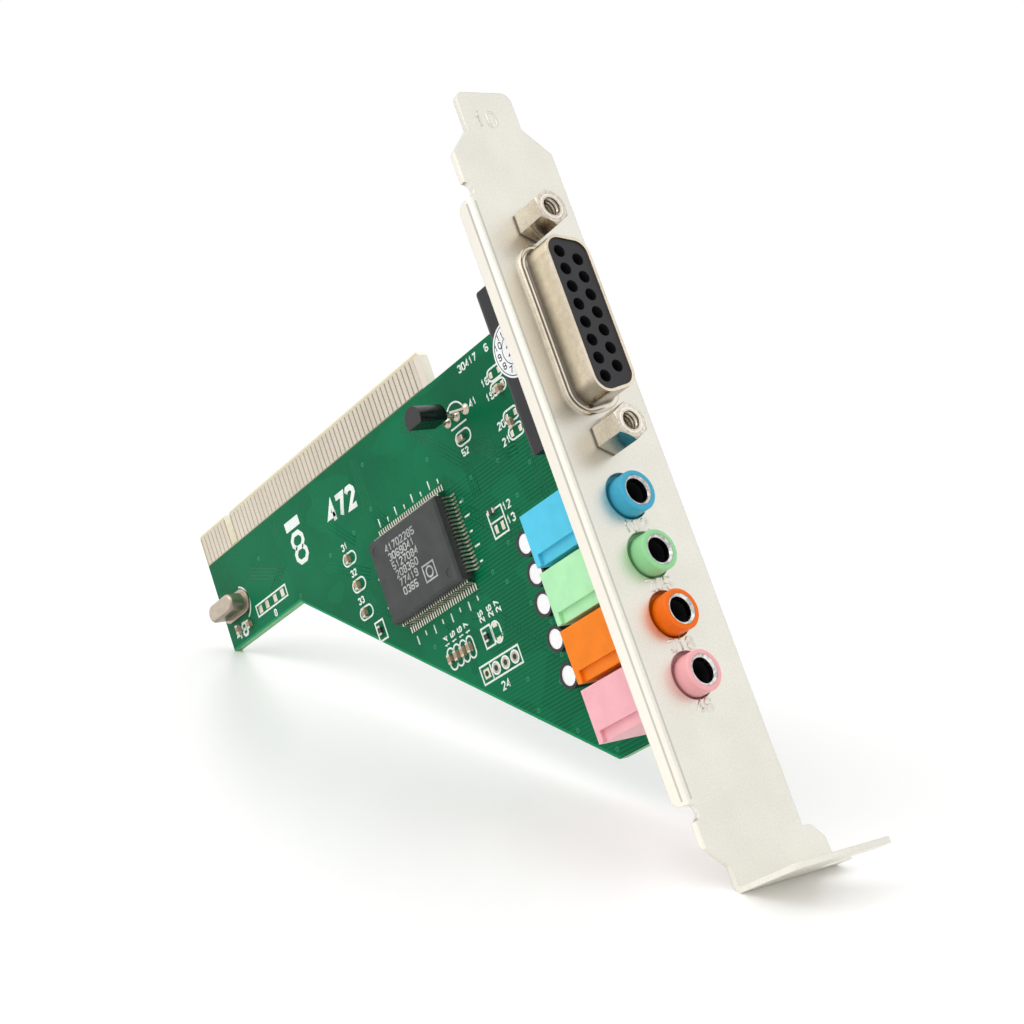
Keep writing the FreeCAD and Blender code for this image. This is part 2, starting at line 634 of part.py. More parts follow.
def make_chip_leads():
    """Bent leads on all four sides of the chip."""
    body = new_body("chip_leads")
    foot = "board_face"
    high = "board_face - lead_high"
    runs = (
        ("YZ_Plane", "- chip_across - 14.5 * lead_pitch", "X_Axis", 30, "chip_high", "chip_half_wide"),
        ("XY_Plane", "chip_high - 9.5 * lead_pitch", "Z_Axis", 20, "- chip_across", "chip_half_long"),
    )
    for role, offset, axis, count, middle, half in runs:
        for way in ("+", "-"):
            profile = new_sketch(body, role, offset)
            outward = [
                ("0", high),
                ("lead_knee", high),
                ("lead_knee + 0.3", foot + " - lead_thick"),
                ("lead_reach", foot + " - lead_thick"),
                ("lead_reach", foot),
                ("lead_knee + 0.17", foot),
                ("lead_knee - 0.13", high + " + lead_thick"),
                ("0", high + " + lead_thick"),
            ]
            points = []
            for reach, level in outward:
                place = "%s %s ( %s + %s )" % (middle, way, half, reach)
                points.append((level, place) if role == "YZ_Plane" else (place, level))
            polygon(profile, points)
            one = pad(body, profile, "lead_wide")
            pattern(body, one, axis, "lead_pitch", count)


# Small parts on the board
def can_spots():
    """Pair the formulas for the five upright capacitors."""
    spots = []
    for word in ("one", "two", "three", "four", "five"):
        back = "- can_across" if word in ("one", "two") else "- can_across - can_stagger"
        spots.append((back, "can_" + word))
    return spots


def make_capacitors():
    """Five upright cans in plastic sleeves with folded rims."""
    cans = new_body("capacitor_cans")
    base = new_sketch(cans, "XZ_Plane", "- board_face")
    tip = new_sketch(cans, "XZ_Plane", "- board_face + can_height - sleeve_skin")
    for x, z in can_spots():
        circle(base, x, z, "can_radius")
        circle(tip, x, z, "rim_inner")
    pad(cans, base, "can_height - sleeve_skin")
    pad(cans, tip, "sleeve_skin / 2")
    sleeves = new_body("capacitor_sleeves")
    wall = new_sketch(sleeves, "XZ_Plane", "- board_face")
    rim = new_sketch(sleeves, "XZ_Plane", "- board_face + can_height - sleeve_skin")
    for x, z in can_spots():
        circle(wall, x, z, "can_radius + sleeve_skin")
        circle(wall, x, z, "can_radius")
        circle(rim, x, z, "can_radius + sleeve_skin")
        circle(rim, x, z, "rim_inner")
    pad(sleeves, wall, "can_height - sleeve_skin")
    pad(sleeves, rim, "sleeve_skin")


def make_crystal():
    """Low metal can on its own base plate."""
    base = new_body("crystal_base")
    plate = new_sketch(base, "XZ_Plane", "- board_face")
    rectangle(plate, "- crystal_across - crystal_half_long", "- crystal_across + crystal_half_long",
              "crystal_high - crystal_half_wide", "crystal_high + crystal_half_wide")
    solid = pad(base, plate, "crystal_base_thick")
    dress(base, "Fillet", solid, "crystal_half_wide - 0.02", lambda b: along(b, "y"))
    can = new_body("crystal_can")
    cup = new_sketch(can, "XZ_Plane", "- board_face + crystal_base_thick")
    rectangle(cup, "- crystal_across - crystal_half_long + crystal_rim",
              "- crystal_across + crystal_half_long - crystal_rim",
              "crystal_high - crystal_half_wide + crystal_rim",
              "crystal_high + crystal_half_wide - crystal_rim")
    solid = pad(can, cup, "crystal_can_tall")
    level = V["board_face"] - V["crystal_base_thick"] - V["crystal_can_tall"]
    sides = dress(can, "Fillet", solid, "crystal_half_wide - crystal_rim - 0.02",
                  lambda b: along(b, "y"))
    dress(can, "Fillet", sides, "crystal_edge", lambda b: (
        near(b.Center.y, level) and b.YLength < 0.01))


def make_transistor():
    """Half-round transistor that stands on three leads spread towards the board."""
    middle = "- wire_first + wire_pitch"
    base = "board_face - transistor_lift"
    body = new_body("transistor_body")
    disc = new_sketch(body, "XZ_Plane", "- ( %s )" % base)
    circle(disc, middle, "wire_high", "transistor_radius")
    pad(body, disc, "transistor_long")
    flat = new_sketch(body, "XZ_Plane")
    rectangle(flat, middle + " - transistor_radius", middle + " + transistor_radius",
              "wire_high - 2 * transistor_radius", "wire_high - transistor_flat")
    cut = pocket(body, flat)
    level = V["board_face"] - V["transistor_lift"]
    dress(body, "Chamfer", cut, "transistor_taper", lambda b: (
        near(b.Center.y, level) and b.YLength < 0.01))
    leads = new_body("transistor_leads")
    strip = new_sketch(leads, "XY_Plane", "wire_high - wire_thick / 2")
    for k in (-1, 0, 1):
        top = "%s + %d * wire_step" % (middle, k)
        foot = "%s + %d * wire_pitch" % (middle, k)
        right = [
            (top, base),
            (top, base + " + wire_straight"),
            (foot, "board_face - wire_straight"),
            (foot, "board_face"),
        ]
        polygon(strip, [(x + " + wire_wide / 2", y) for x, y in right]
                + [(x + " - wire_wide / 2", y) for x, y in reversed(right)])
    pad(leads, strip, "wire_thick")


CERAMIC_SPOTS = [
    (-56.1, 51.8, "z"), (-54.3, 51.8, "z"), (-52.5, 51.8, "z"), (-50.7, 51.8, "z"),
    (-73.7, 76.3, "z"), (-73.4, 71.5, "z"), (-73.8, 66.7, "z"), (-24.1, 83.6, "z"),
    (-24.1, 78.0, "z"), (-36.1, 81.0, "x"), (-111.5, 78.2, "z"), (-107.6, 77.8, "z"),
]
RESISTOR_SPOTS = [
    (-46.0, 51.7, "z"), (-71.5, 62.6, "z"), (-35.2, 68.2, "x"),
]


def make_small_parts(name, end_name, spots, tall):
    """Block bodies with a metal end at each side, soldered flat to the board."""
    middle = new_body(name)
    ends = new_body(end_name)
    core = new_sketch(middle, "XZ_Plane", "- board_face")
    caps = new_sketch(ends, "XZ_Plane", "- board_face")
    for x, z, way in spots:
        for sketch, low, high in (
                (core, "- small_long / 2 + small_end", "small_long / 2 - small_end"),
                (caps, "- small_long / 2", "- small_long / 2 + small_end"),
                (caps, "small_long / 2 - small_end", "small_long / 2")):
            span = ["%g + %s" % (x if way == "x" else z, low),
                    "%g + %s" % (x if way == "x" else z, high)]
            cross = ["%g - small_wide / 2" % (z if way == "x" else x),
                     "%g + small_wide / 2" % (z if way == "x" else x)]
            if way == "x":
                rectangle(sketch, *span, *cross)
            else:
                rectangle(sketch, *cross, *span)
    pad(middle, core, tall)
    pad(ends, caps, tall)


def make_solder_joints():
    """Soldered lead ends on the solder side, one cone for each through lead."""
    spots = []
    for row, count in (("port_pin_near", 8), ("port_pin_far", 7)):
        for k in range(count):
            height = V["port_centre"] + (k - (count - 1) / 2) * V["socket_pitch"]
            spots.append((-V[row], height))
    for number in range(4):
        middle = V["jack_high_%d" % (number + 1)] + V["jack_shift"]
        spots.append((-V["jack_pin_middle"], middle))
        for row in ("jack_pin_front", "jack_pin_rear"):
            for side in (-1, 1):
                spots.append((-V[row], middle + side * V["jack_pin_side"]))
    for back, word in zip((0, 0, 1, 1, 1), ("one", "two", "three", "four", "five")):
        x = -V["can_across"] - back * V["can_stagger"]
        spots += [(x + side * V["can_pin"], V["can_" + word]) for side in (-1, 1)]
    for k in range(3):
        spots.append((-V["wire_first"] + k * V["wire_pitch"], V["wire_high"]))
    for side in (-1, 1):
        spots.append((-V["crystal_across"] + side * V["crystal_pin"], V["crystal_high"]))
    level = V["board_face"] + V["board_thick"]
    joints = [
        Part.makeCone(V["joint_radius"], V["joint_tip"], V["joint_tall"],
                      Vector(x, level, z), Vector(0, 1, 0))
        for x, z in spots]
    node = DOC.addObject("Part::Feature", "solder_joints")
    node.Label = "solder_joints"
    node.Shape = Part.makeCompound(joints)
    node.Placement = STAND
    NODES["solder_joints"] = node


make_bracket()
make_tab()
make_board()
make_contacts("edge_contacts_component_side", "- board_face", False)
make_contacts("edge_contacts_solder_side", "- board_face - board_thick", True)
make_port()
make_jackscrew("jackscrew_upper", "+")
make_jackscrew("jackscrew_lower", "-")
for index, colour in enumerate(("blue", "green", "orange", "pink")):
    make_jack("jack_housing_" + colour, index)
make_jack_sleeves()
make_chip()
make_chip_leads()
make_capacitors()
make_crystal()
make_transistor()
make_small_parts("ceramic_capacitors", "ceramic_capacitor_ends", CERAMIC_SPOTS, "small_tall")
make_small_parts("chip_resistors", "chip_resistor_ends", RESISTOR_SPOTS, "small_low")
make_solder_joints()
DOC.recompute()

for item in DOC.Objects:
    if "Invalid" in item.State or "Error" in item.State:
        raise RuntimeError("%s is in error" % item.Label)
for name, node in NODES.items():
    if node.Shape.isNull() or not node.Shape.isValid():
        raise RuntimeError("%s has no valid shape" % name)
    node.Shape.exportStep("parts/%s.step" % name)
    print("%-30s %3d solids %9.2f mm3" % (name, len(node.Shape.Solids), node.Shape.Volume))
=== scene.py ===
import json
import math

import bmesh
import bpy
import numpy as np
from mathutils import Euler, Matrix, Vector


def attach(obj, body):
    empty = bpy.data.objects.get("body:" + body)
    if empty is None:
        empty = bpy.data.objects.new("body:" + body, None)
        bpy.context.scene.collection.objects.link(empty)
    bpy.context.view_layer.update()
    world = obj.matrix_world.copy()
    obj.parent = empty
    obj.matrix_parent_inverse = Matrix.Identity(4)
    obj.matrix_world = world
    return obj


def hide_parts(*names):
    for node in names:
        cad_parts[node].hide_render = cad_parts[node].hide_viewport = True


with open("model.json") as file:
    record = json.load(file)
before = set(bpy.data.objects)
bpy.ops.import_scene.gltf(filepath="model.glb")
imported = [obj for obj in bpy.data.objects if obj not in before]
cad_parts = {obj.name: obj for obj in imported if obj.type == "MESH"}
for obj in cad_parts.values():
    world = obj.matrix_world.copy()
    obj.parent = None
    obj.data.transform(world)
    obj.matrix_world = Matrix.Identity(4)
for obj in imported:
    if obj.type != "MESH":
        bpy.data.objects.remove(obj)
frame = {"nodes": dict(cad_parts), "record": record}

bl_info = {
    "name": "Sound Card Look",
    "version": (1, 0, 0),
    "blender": (4, 5, 0),
    "location": "3D View > Sidebar > Card",
    "description": "Finishes, small surfaces, lights and camera for a leaning plug-in sound card",
    "category": "Object",
}

# Placement of the card in the row frame: its lean, and its origin in millimetres

LEAN = math.radians(33.20397722973119)
CARD_ORIGIN = np.array((70.31620558917196, -1.85, 0.009737193373524633))
MILLIMETRE = 0.001

# Positions on the card, in card millimetres: x out through the bracket, z along it, -y to the parts

BOARD_FACE = 6.0
CHIP_TOP = 3.0
LABEL_TOP = -6.37
JACK_AXIS_Y = -0.4
JACK_Z = (55.7, 46.88, 38.16, 29.35)
PORT_Z = 81.48
SHELL_HALF = (3.95, 12.0, 0.6965)
SHELL_CORNER = 2.6
LIP_ROLL = 0.28
JACKSCREW_Z = (98.14, 64.82)
JACKSCREW_END = 5.5
THREAD_RADIUS = 1.42
THREAD_START = 0.9
CHIP_CENTRE = (-54.25, 68.0)
LABEL_CENTRE = (-5.35, 81.6)
CAN_SPOTS = ((-24.5, 58.9), (-24.5, 54.1), (-25.1, 49.6), (-25.1, 44.1), (-25.1, 38.4))
WIRE_SPOTS = ((-38.46, 84.7), (-35.94, 84.7), (-33.42, 84.7))
HEADER_SPOTS = ((-49.12, 46.75), (-46.58, 46.75), (-44.04, 46.75), (-41.5, 46.75))

# Where the finishes of the board, the bracket and the jacks change, and where painted light and shade lie on
# the bracket and the jacks, in card millimetres

TONGUE_Z = 92.0
FINGER_END_Z = 97.3
LAST_FINGER_X = -41.36
HATCH_X = -46.0
HATCH_TOP_Z = 76.0
HATCH_PITCH = 0.62
GAP_SHADE_X = (-90.0, -58.0)
TRACE_FADE_X = (-48.0, -72.0)
SLANT_FOOT = (-26.7, 25.2)
SLANT_ACROSS = (0.616, 0.788)
ARM_X = -91.0
ARM_Z = 75.45
TRIM = (0.5, 0.3)
# On the bracket: the flange face takes painted light, and painted shade lines run along its bend
FLANGE_Y = -8.9
FLANGE_SPAN_Z = (13.4, 102.2)
FOLD_SIDE_X = ((-1.3, -1.1), (-0.72, -0.9))
FOLD_FRONT_Y = ((-8.6, -8.45), (-8.1, -8.3))
# On the jacks: painted shade on what stands out in front of the bracket
NOSE_SHADE_X = (-0.9, -0.5)
# Painted shadow on the jack housing where it shows through the bracket's window
WINDOW_SHADE_X = ((-2.0, -1.5), (0.1, -0.3))

# Printed marks on the component face, as x and z: boxes, ovals, digits, bars, lines, arcs and rings

INK_BOXES = (
    (-50.5, 45.3, -40.0, 48.15),
    (-36.7, 64.2, -33.0, 68.4),
    (-104.6, 77.9, -94.0, 79.9),
    (-47.2, 50.1, -44.8, 53.3),
    (-72.7, 61.0, -70.3, 64.2),
)
INK_OVALS = (
    (1.7, 1.05, True, ((-43.6, 51.6),)),
    (1.75, 0.95, True, ((-56.1, 51.8),)),
    (1.75, 0.85, True, ((-54.3, 51.8), (-52.5, 51.8), (-50.7, 51.8))),
    (1.9, 1.0, False, ((-73.7, 76.3), (-73.4, 71.5), (-73.8, 66.7))),
    (1.9, 0.95, False, ((-24.2, 86.4), (-24.5, 84.2), (-23.9, 79.2), (-24.0, 76.6))),
    (1.95, 1.05, False, ((-36.0, 81.15),)),
)
INK_DIGITS = (
    (1.20, "right", (("24", -46.6, 43.1),)),
    (1.12, "right", (("12", -32.6, 67.2), ("13", -32.6, 65.0))),
    (1.04, "up", (("25", -45.5, 54.2), ("26", -43.1, 54.2), ("27", -41.0, 54.2))),
    (1.04, "up", (("14", -55.6, 53.9), ("15", -53.6, 53.9), ("16", -51.6, 53.9), ("17", -49.7, 53.9))),
    (0.96, "right", (("31", -74.9, 78.1), ("32", -74.6, 73.3), ("33", -75.0, 68.5))),
    (1.04, "right", (("18", -27.9, 85.6), ("19", -27.9, 83.2), ("20", -27.6, 78.3), ("21", -27.7, 75.7))),
    (1.04, "right", (("30417", -31.9, 90.1), ("6", -24.5, 90.1), ("41", -32.1, 84.3))),
    (0.96, "right", (("52", -37.4, 78.5),)),
    (1.04, "right", (("8", -99.5, 76.1),)),
)
INK_BOLD = (
    ("472", -75.5, 83.5, 3.2, 1.05),
    ("8", -87.9, 81.2, 5.0, 0.9),
    ("48", -112.9, 76.6, 2.2, 0.55),
)
INK_BAR = (-88.8, 87.2, -84.0, 89.0)
INK_LINES = (
    ((-47.85, 45.5), (-47.85, 47.95)),
    ((-36.5, 66.6), (-33.2, 66.6)),
    ((-38.2, 83.2), (-33.9, 83.2)),
)
INK_ARCS = (((-35.94, 84.5), 2.4, 12, 168), ((-108.9, 82.0), 3.1, -66, 74))
INK_RINGS = (
    *((x, z, 0.95) for x, z in HEADER_SPOTS[1:]),
    *((x, z, 2.75) for x, z in CAN_SPOTS),
)

# Marks round the chip: their pitches, and how far from its centre they begin

TICK_PITCH_X = 2.51
TICK_PITCH_Z = 2.5
TICKS_ABOVE = 9.4
TICKS_BELOW = -9.7
TICKS_BESIDE = 12.3

# Pads of the empty places, as width and height and the lower corners, and the spots of the vias

PADS = (
    (1.2, 0.7, ((-44.2, 52.4), (-44.2, 50.1))),
    (0.8, 1.0, ((-25.7, 85.9), (-23.5, 85.9), (-26.0, 83.7), (-23.8, 83.7))),
    (0.8, 1.0, ((-25.4, 78.7), (-23.2, 78.7), (-25.5, 76.1), (-23.3, 76.1))),
    (0.8, 1.4, ((-36.1, 64.7), (-34.4, 64.7))),
    (1.2, 1.4, ((-103.9, 78.2), (-101.5, 78.2), (-98.6, 78.2), (-96.0, 78.2))),
)
HEADER_PAD_HALF = 0.8
VIA_SPOTS = (
    (-30.2, 74.5), (-23.5, 71.2), (-28.6, 68.0), (-34.2, 62.6), (-37.4, 57.5),
    (-37.4, 74.9), (-39.9, 60.1), (-41.1, 72.7), (-33.8, 52.5), (-30.9, 48.4),
    (-31.1, 43.2), (-33.4, 39.7), (-40.3, 42.6), (-40.3, 37.5), (-33.3, 31.9),
    (-26.5, 26.7), (-42.4, 50.8), (-70.3, 79.6), (-78.5, 78.9), (-63.9, 81.1),
    (-59.4, 55.1), (-90.4, 76.3), (-99.2, 86.9), (-62.3, 88.4), (-46.1, 81.9),
)

# Profiles of what stands on the board, as radius and height

VIA_WALL = ((0.40, -0.01), (0.36, 0.03), (0.20, 0.03), (0.16, 0.01))
# A flat dark disc over each via is painted shade for the inside of its hole
VIA_HOLE_SHADE = ((0.17, 0.012), (0.0, 0.012))
WIRE_DOME = ((0.95, -0.02), (0.85, 0.14), (0.62, 0.30), (0.40, 0.40), (0.30, 0.55))
HEADER_WALL = ((0.80, -0.01), (0.76, 0.05), (0.50, 0.05), (0.44, 0.01))
# A flat dark disc over each header hole is painted shade for its inside
HEADER_HOLE_SHADE = ((0.46, 0.05), (0.0, 0.05))

# Copper under the mask, as a path, how many run side by side and their pitch

TRACE_WIDTH = 0.24
TRACES = (
    (((-50.1, 88.9), (-42.8, 81.3), (-38.1, 76.5), (-38.3, 72.0)), 4, 0.62),
    (((-34.2, 78.2), (-30.3, 74.4), (-25.2, 73.5)), 5, 0.6),
    (((-48.4, 55.6), (-42.2, 52.7), (-30.9, 41.8), (-29.6, 33.0)), 3, 0.7),
    (((-41.6, 70.1), (-37.2, 66.0), (-30.0, 60.4), (-28.6, 47.0)), 4, 0.62),
    (((-60.2, 77.6), (-63.5, 82.0), (-63.5, 90.5)), 4, 0.65),
    (((-69.0, 72.6), (-79.0, 78.2), (-91.0, 81.6), (-103.0, 86.6)), 4, 0.62),
    (((-66.6, 64.4), (-70.2, 66.4), (-71.4, 70.0)), 3, 0.65),
    (((-78.6, 90.8), (-78.6, 85.0), (-71.0, 77.6)), 3, 0.65),
    (((-55.0, 57.0), (-52.2, 50.6), (-52.2, 47.6)), 3, 0.65),
    (((-19.9, 60.0), (-22.0, 66.0), (-22.0, 73.0)), 3, 0.65),
    (((-92.5, 90.6), (-92.5, 84.0), (-98.6, 80.6)), 3, 0.65),
)

# Marks on the chip: rows of digits with their first corner and step, a frame, a ring, and widths of lines

CHIP_ROWS = ("41702285", "3069041", "5127084", "208360", "77419", "0365")
CHIP_CORNER = np.array((-59.8, 71.9))
CHIP_STEP = np.array((0.25, -1.55))
CHIP_DIGIT = 1.1
CHIP_DIGIT_LINE = 0.26
CHIP_FRAME_LINE = 0.3
CHIP_RING_LINE = 0.34
CHIP_FRAME = ((-52.3, 63.7), (-49.2, 63.7), (-49.2, 66.3), (-52.3, 66.3))
CHIP_RING = ((-50.75, 65.0), 0.85)

# Rings of the round label, widths of its lines, and the circle and height of its hours

LABEL_RINGS = (3.85, 2.2)
LABEL_LINE = 0.16
HOUR_LINE = 0.2
HOUR_CIRCLE = 3.0
HOUR_DIGIT = 0.9

# Stamped figures on the outer face of the bracket, as digits, y and z of the corner, and height

STAMPS = (
    ("102", -2.9, 50.6, 1.65),
    ("205", -2.6, 41.9, 1.65),
    ("318", -2.6, 33.1, 1.65),
    ("46", -1.7, 24.2, 1.65),
    ("10", -2.9, 114.4, 2.3),
)

# Colours of the stage, and those of the card that no setting holds, painted shade and painted light among
# them

WHITE = (1.0, 1.0, 1.0)
FLOOR_WHITE = (0.985, 0.98, 0.975)
HORIZON = (0.56, 0.54, 0.52)
# Painted shade at the roots of the port shell, its lip and the jackscrews
ROOT_SHADE = (0.05, 0.04, 0.03)
# Painted light: the flange face of the bracket is made lighter and warmer than the plate
FLANGE_PAINTED_LIGHT = (1.0, 0.95, 0.84)
CUT_GREENS = ((0.13, 0.36, 0.15), (0.22, 0.50, 0.24))
BARE_STRIP = (0.76, 0.69, 0.60)
TONGUE_END = (0.95, 0.91, 0.78)
INK_TONES = ((0.48, 0.64, 0.54), (0.92, 0.95, 0.92))

# Painted shade on each jack: the share of its colour that is left where it stands out in front of the bracket

NOSE_SHADES = {
    "blue": (0.6, 0.68, 0.72),
    "green": (0.66, 0.78, 0.66),
    "orange": (0.95, 0.68, 0.35),
    "pink": (0.97, 0.92, 0.86),
}

# Metals, as the values that metal() takes

EVEN = (1.0, 1.0, 1.0)
# Past the rounding, some metals give the weight of specks, the weight of painted shade on faces that look
# down, and the x range of painted shade at a root
METALS = {
    "contacts": ("finger_plating", (0.78, 0.71, 0.62), (0.66, 0.59, 0.50), 0.36, 3.0, 0.004, 0.05),
    "port_shell": (
        "bright_nickel", (0.93, 0.82, 0.66), (0.78, 0.68, 0.53), 0.24, 1.2, 0.003, 0.16, 0.2, 0.7, (0.9, 3.4)
    ),
    "port_lip": (
        "lip_nickel", (0.90, 0.83, 0.71), (0.74, 0.66, 0.54), 0.2, 1.2, 0.004, 0.0, 0.2, 0.35, (0.64, 0.48)
    ),
    "jackscrew": (
        "turned_nickel", (0.93, 0.86, 0.75), (0.62, 0.55, 0.45), 0.18, 2.5, 0.005, 0.15, 0.2, 0.4,
        (0.12, 0.5), (4.0, 1.0, 1.0)
    ),
    "mouth_metal": ("rim_nickel", (0.96, 0.94, 0.89), (0.84, 0.78, 0.68), 0.2, 1.5, 0.002, 0.05),
    "sleeve_metal": ("ring_nickel", (0.90, 0.89, 0.87), (0.34, 0.33, 0.32), 0.14, 1.1, 0.002, 0.05),
    "tin": ("tinned_copper", (0.80, 0.76, 0.67), (0.60, 0.56, 0.48), 0.30, 3.0, 0.006, 0.03),
    "can_metal": ("can_top", (0.98, 0.98, 0.98), (0.90, 0.90, 0.90), 0.45, 1.5, 0.004, 0.08),
    "crystal_metal": (
        "brushed_can", (0.64, 0.55, 0.45), (0.52, 0.44, 0.36), 0.36, 3.0, 0.002, 0.3, 0.0, 0.5,
        None, (0.2, 1.0, 1.0)
    ),
    "solder": ("solder_alloy", (0.80, 0.79, 0.76), (0.62, 0.61, 0.59), 0.25, 2.5, 0.01, 0.05),
    "solder_dome": ("solder_dome", (0.70, 0.62, 0.50), (0.42, 0.36, 0.28), 0.3, 2.0, 0.01, 0.03),
    "tinned_pad": ("tinned_pad", (0.86, 0.80, 0.66), (0.70, 0.64, 0.50), 0.34, 4.0, 0.006, 0.03),
}

# Plastics, as the values that plastic() takes

PLASTICS = {
    "port_black": ("port_plastic", (0.018, 0.018, 0.021), 0.42, 0.1, 0.08, 0.4),
    "label": ("label_paper", (0.92, 0.93, 0.94), 0.55, 0.03, 0.05, 0.2),
    "chip_black": ("moulded_epoxy", (0.064, 0.068, 0.069), 0.6, 0.08, 0.1, 0.3),
    "can_sleeve": ("black_sleeve", (0.012, 0.012, 0.014), 0.35, 0.1, 0.08),
    "transistor_black": ("transistor_epoxy", (0.006, 0.006, 0.008), 0.24, 0.08, 0.1, 0.6),
    "ceramic": ("ceramic_body", (0.46, 0.33, 0.20), 0.45, 0.08, 0.05),
    "resistor_black": ("resistor_glaze", (0.03, 0.03, 0.032), 0.35, 0.08, 0.05),
    # This dark green also lies on flat discs over the holes, as painted shade for their inside
    "hole": ("via_hole", (0.006, 0.030, 0.016), 0.5, 0.1, 0.0),
    "print_grey": ("label_print", (0.05, 0.05, 0.06), 0.6, 0.1, 0.0),
    "chip_print": ("chip_print", (0.56, 0.57, 0.56), 0.6, 0.15, 0.0),
}

# The stage: lamps as name, place and side, the floor and where it turns white, and the camera

KEY_LAMP = ("key", (-0.45, -0.85, 0.75), 0.7)
FILL_LAMP = ("fill", (0.2, -0.3, 1.0), 0.9)
LAMP_AIM = Vector((0.0, 0.0, 0.05))
FLOOR_LINES = 9
FLOOR_FADE = (0.05, 0.16)
FLOOR_SQUEEZE = (0.6, 1.0, 1.0)
FLOOR_LIFT = 0.04
SENSOR_WIDTH = 36.0
CLIPPING = (0.01, 50.0)

# Limits: merging of points in metres, steps and corners of a path, and the edge that is shaded smooth

WELD = 1e-7
THINNEST = 1e-8
LOOSE = 1e-6
TINY = 1e-9
SHARPEST = 0.5
SMOOTH_ANGLE = math.radians(28)

# Strokes of plain digits on a grid four wide and six high, and the pitch from digit to digit

DIGIT_ROWS = 6
DIGIT_PITCH = 6
STROKES = {
    "0": "10 30 41 45 36 16 05 01 10",
    "1": "14 26 20",
    "2": "05 16 36 45 44 00 40",
    "3": "05 16 36 45 44 33 42 41 30 10 01",
    "4": "30 36 02 42",
    "5": "46 06 03 33 42 41 30 10 01",
    "6": "45 36 16 05 01 10 30 41 42 33 03",
    "7": "06 46 10",
    "8": "13 04 05 16 36 45 44 33 13 02 01 10 30 41 42 33",
    "9": "01 10 30 41 45 36 16 05 04 13 43",
}


def to_world(points):
    """Card millimetres to row metres: a turn by the lean about the y axis, then the card's origin added."""
    x, y, z = np.moveaxis(np.asarray(points, float), -1, 0)
    c, s = math.cos(LEAN), math.sin(LEAN)
    turned = np.stack((x * c - z * s, y, x * s + z * c), axis=-1)
    return (turned + CARD_ORIGIN) * MILLIMETRE


# Surfaces


def cells(index):
    """The four corners of every cell of a grid of point numbers, in turn."""
    corners = (index[:-1, :-1], index[1:, :-1], index[1:, 1:], index[:-1, 1:])
    return np.stack(corners, axis=-1).reshape(-1, 4)


class Patches:
    """Gathers two-parameter grids in card millimetres and makes one mesh of them."""

    def __init__(self):
        self.points = []
        self.faces = []
        self.count = 0

    def add(self, grid, around=False):
        """Adds a grid of shape (n, m, 3). around joins the last column to the first one."""
        n, m = grid.shape[:2]
        index = np.arange(n * m).reshape(n, m) + self.count
        if around:
            index = np.concatenate((index, index[:, :1]), axis=1)
        self.points.append(grid.reshape(-1, 3))
        self.faces.append(cells(index))
        self.count += n * m

    def write(self, text, corner, height, width, rise, place, way="right"):
        """Adds a ribbon along each stroke of a row of plain digits."""
        for path in written(text, corner, height, way):
            self.add(ribbon(path, width, rise, place))

    def make(self, name, slot, finish):
        """Welds the seams and poles of the patches and hands the mesh over as a piece of the object."""
        mesh = bpy.data.meshes.new(name)
        points = to_world(np.concatenate(self.points))
        mesh.from_pydata(points, [], np.concatenate(self.faces).tolist())
        work = bmesh.new()
        work.from_mesh(mesh)
        bmesh.ops.remove_doubles(work, verts=work.verts, dist=WELD)
        bmesh.ops.dissolve_degenerate(work, edges=work.edges, dist=THINNEST)
        work.to_mesh(mesh)
        work.free()
        mesh.shade_smooth()
        mesh.materials.append(MATERIALS[finish])
        piece = bpy.data.objects.new(name, mesh)
        bpy.context.scene.collection.objects.link(piece)
        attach(piece, "root")
        return piece


def revolved(profile, centre, axis="x", steps=48):
    """Point = centre + h along the axis + r times the unit circle across it, for each (r, h) of the profile.

    The profile runs forward on the outside, inward over the front and back on the inside."""
    profile = np.asarray(profile, float)
    turn = -np.linspace(0, 2 * np.pi, steps, endpoint=False)
    r, h = profile[:, :1], profile[:, 1:]
    a, b = r * np.cos(turn), r * np.sin(turn)
    h = np.broadcast_to(h, a.shape)
    order = {"x": (h, a, b), "-y": (a, -h, b)}[axis]
    return np.stack(order, axis=-1) + centre


def helix(radius, depth, pitch, start, end, centre, steps=40, columns=9):
    """Point = centre + x along the axis, at radius - depth times a triangle wave of the share of one pitch.

    x climbs a pitch a turn. The surface faces inward, as the thread of a bore does."""
    angle = np.arange(int(steps * (end - start) / pitch) + 1)[:, None] * 2 * np.pi / steps
    share = np.linspace(1, 0, columns)[None, :]
    x = np.clip(start + pitch * (angle / (2 * np.pi) + share - 0.5), start, end)
    r = radius - depth * (1 - np.abs(2 * share - 1)) + 0 * angle
    return np.stack((x, r * np.cos(angle), r * np.sin(angle)), axis=-1) + centre


def carried(profile):
    """Point = outline of the port, grown by g, at height h off the plate, for each (g, h) of the profile."""
    rows = []
    for grow, rise in profile:
        loop = slanted_loop(grow)
        rows.append(on_plate(loop[:, 0], loop[:, 1], np.full(len(loop), rise)))
    return np.stack(rows)


def unit(vectors):
    """The vectors brought to length one."""
    return vectors / np.maximum(np.linalg.norm(vectors, axis=1, keepdims=True), TINY)


def mitres(path, closed=False):
    """Unit vectors to the left of a flat path, longer at its corners."""
    step = unit(np.diff(path, axis=0))
    before = np.concatenate((step[-1:] if closed else step[:1], step))
    after = np.concatenate((step, step[:1] if closed else step[-1:]))
    mean = unit(before + after)
    stretch = 1 / np.maximum((mean * after).sum(axis=1, keepdims=True), SHARPEST)
    return np.stack((-mean[:, 1], mean[:, 0]), axis=-1) * stretch


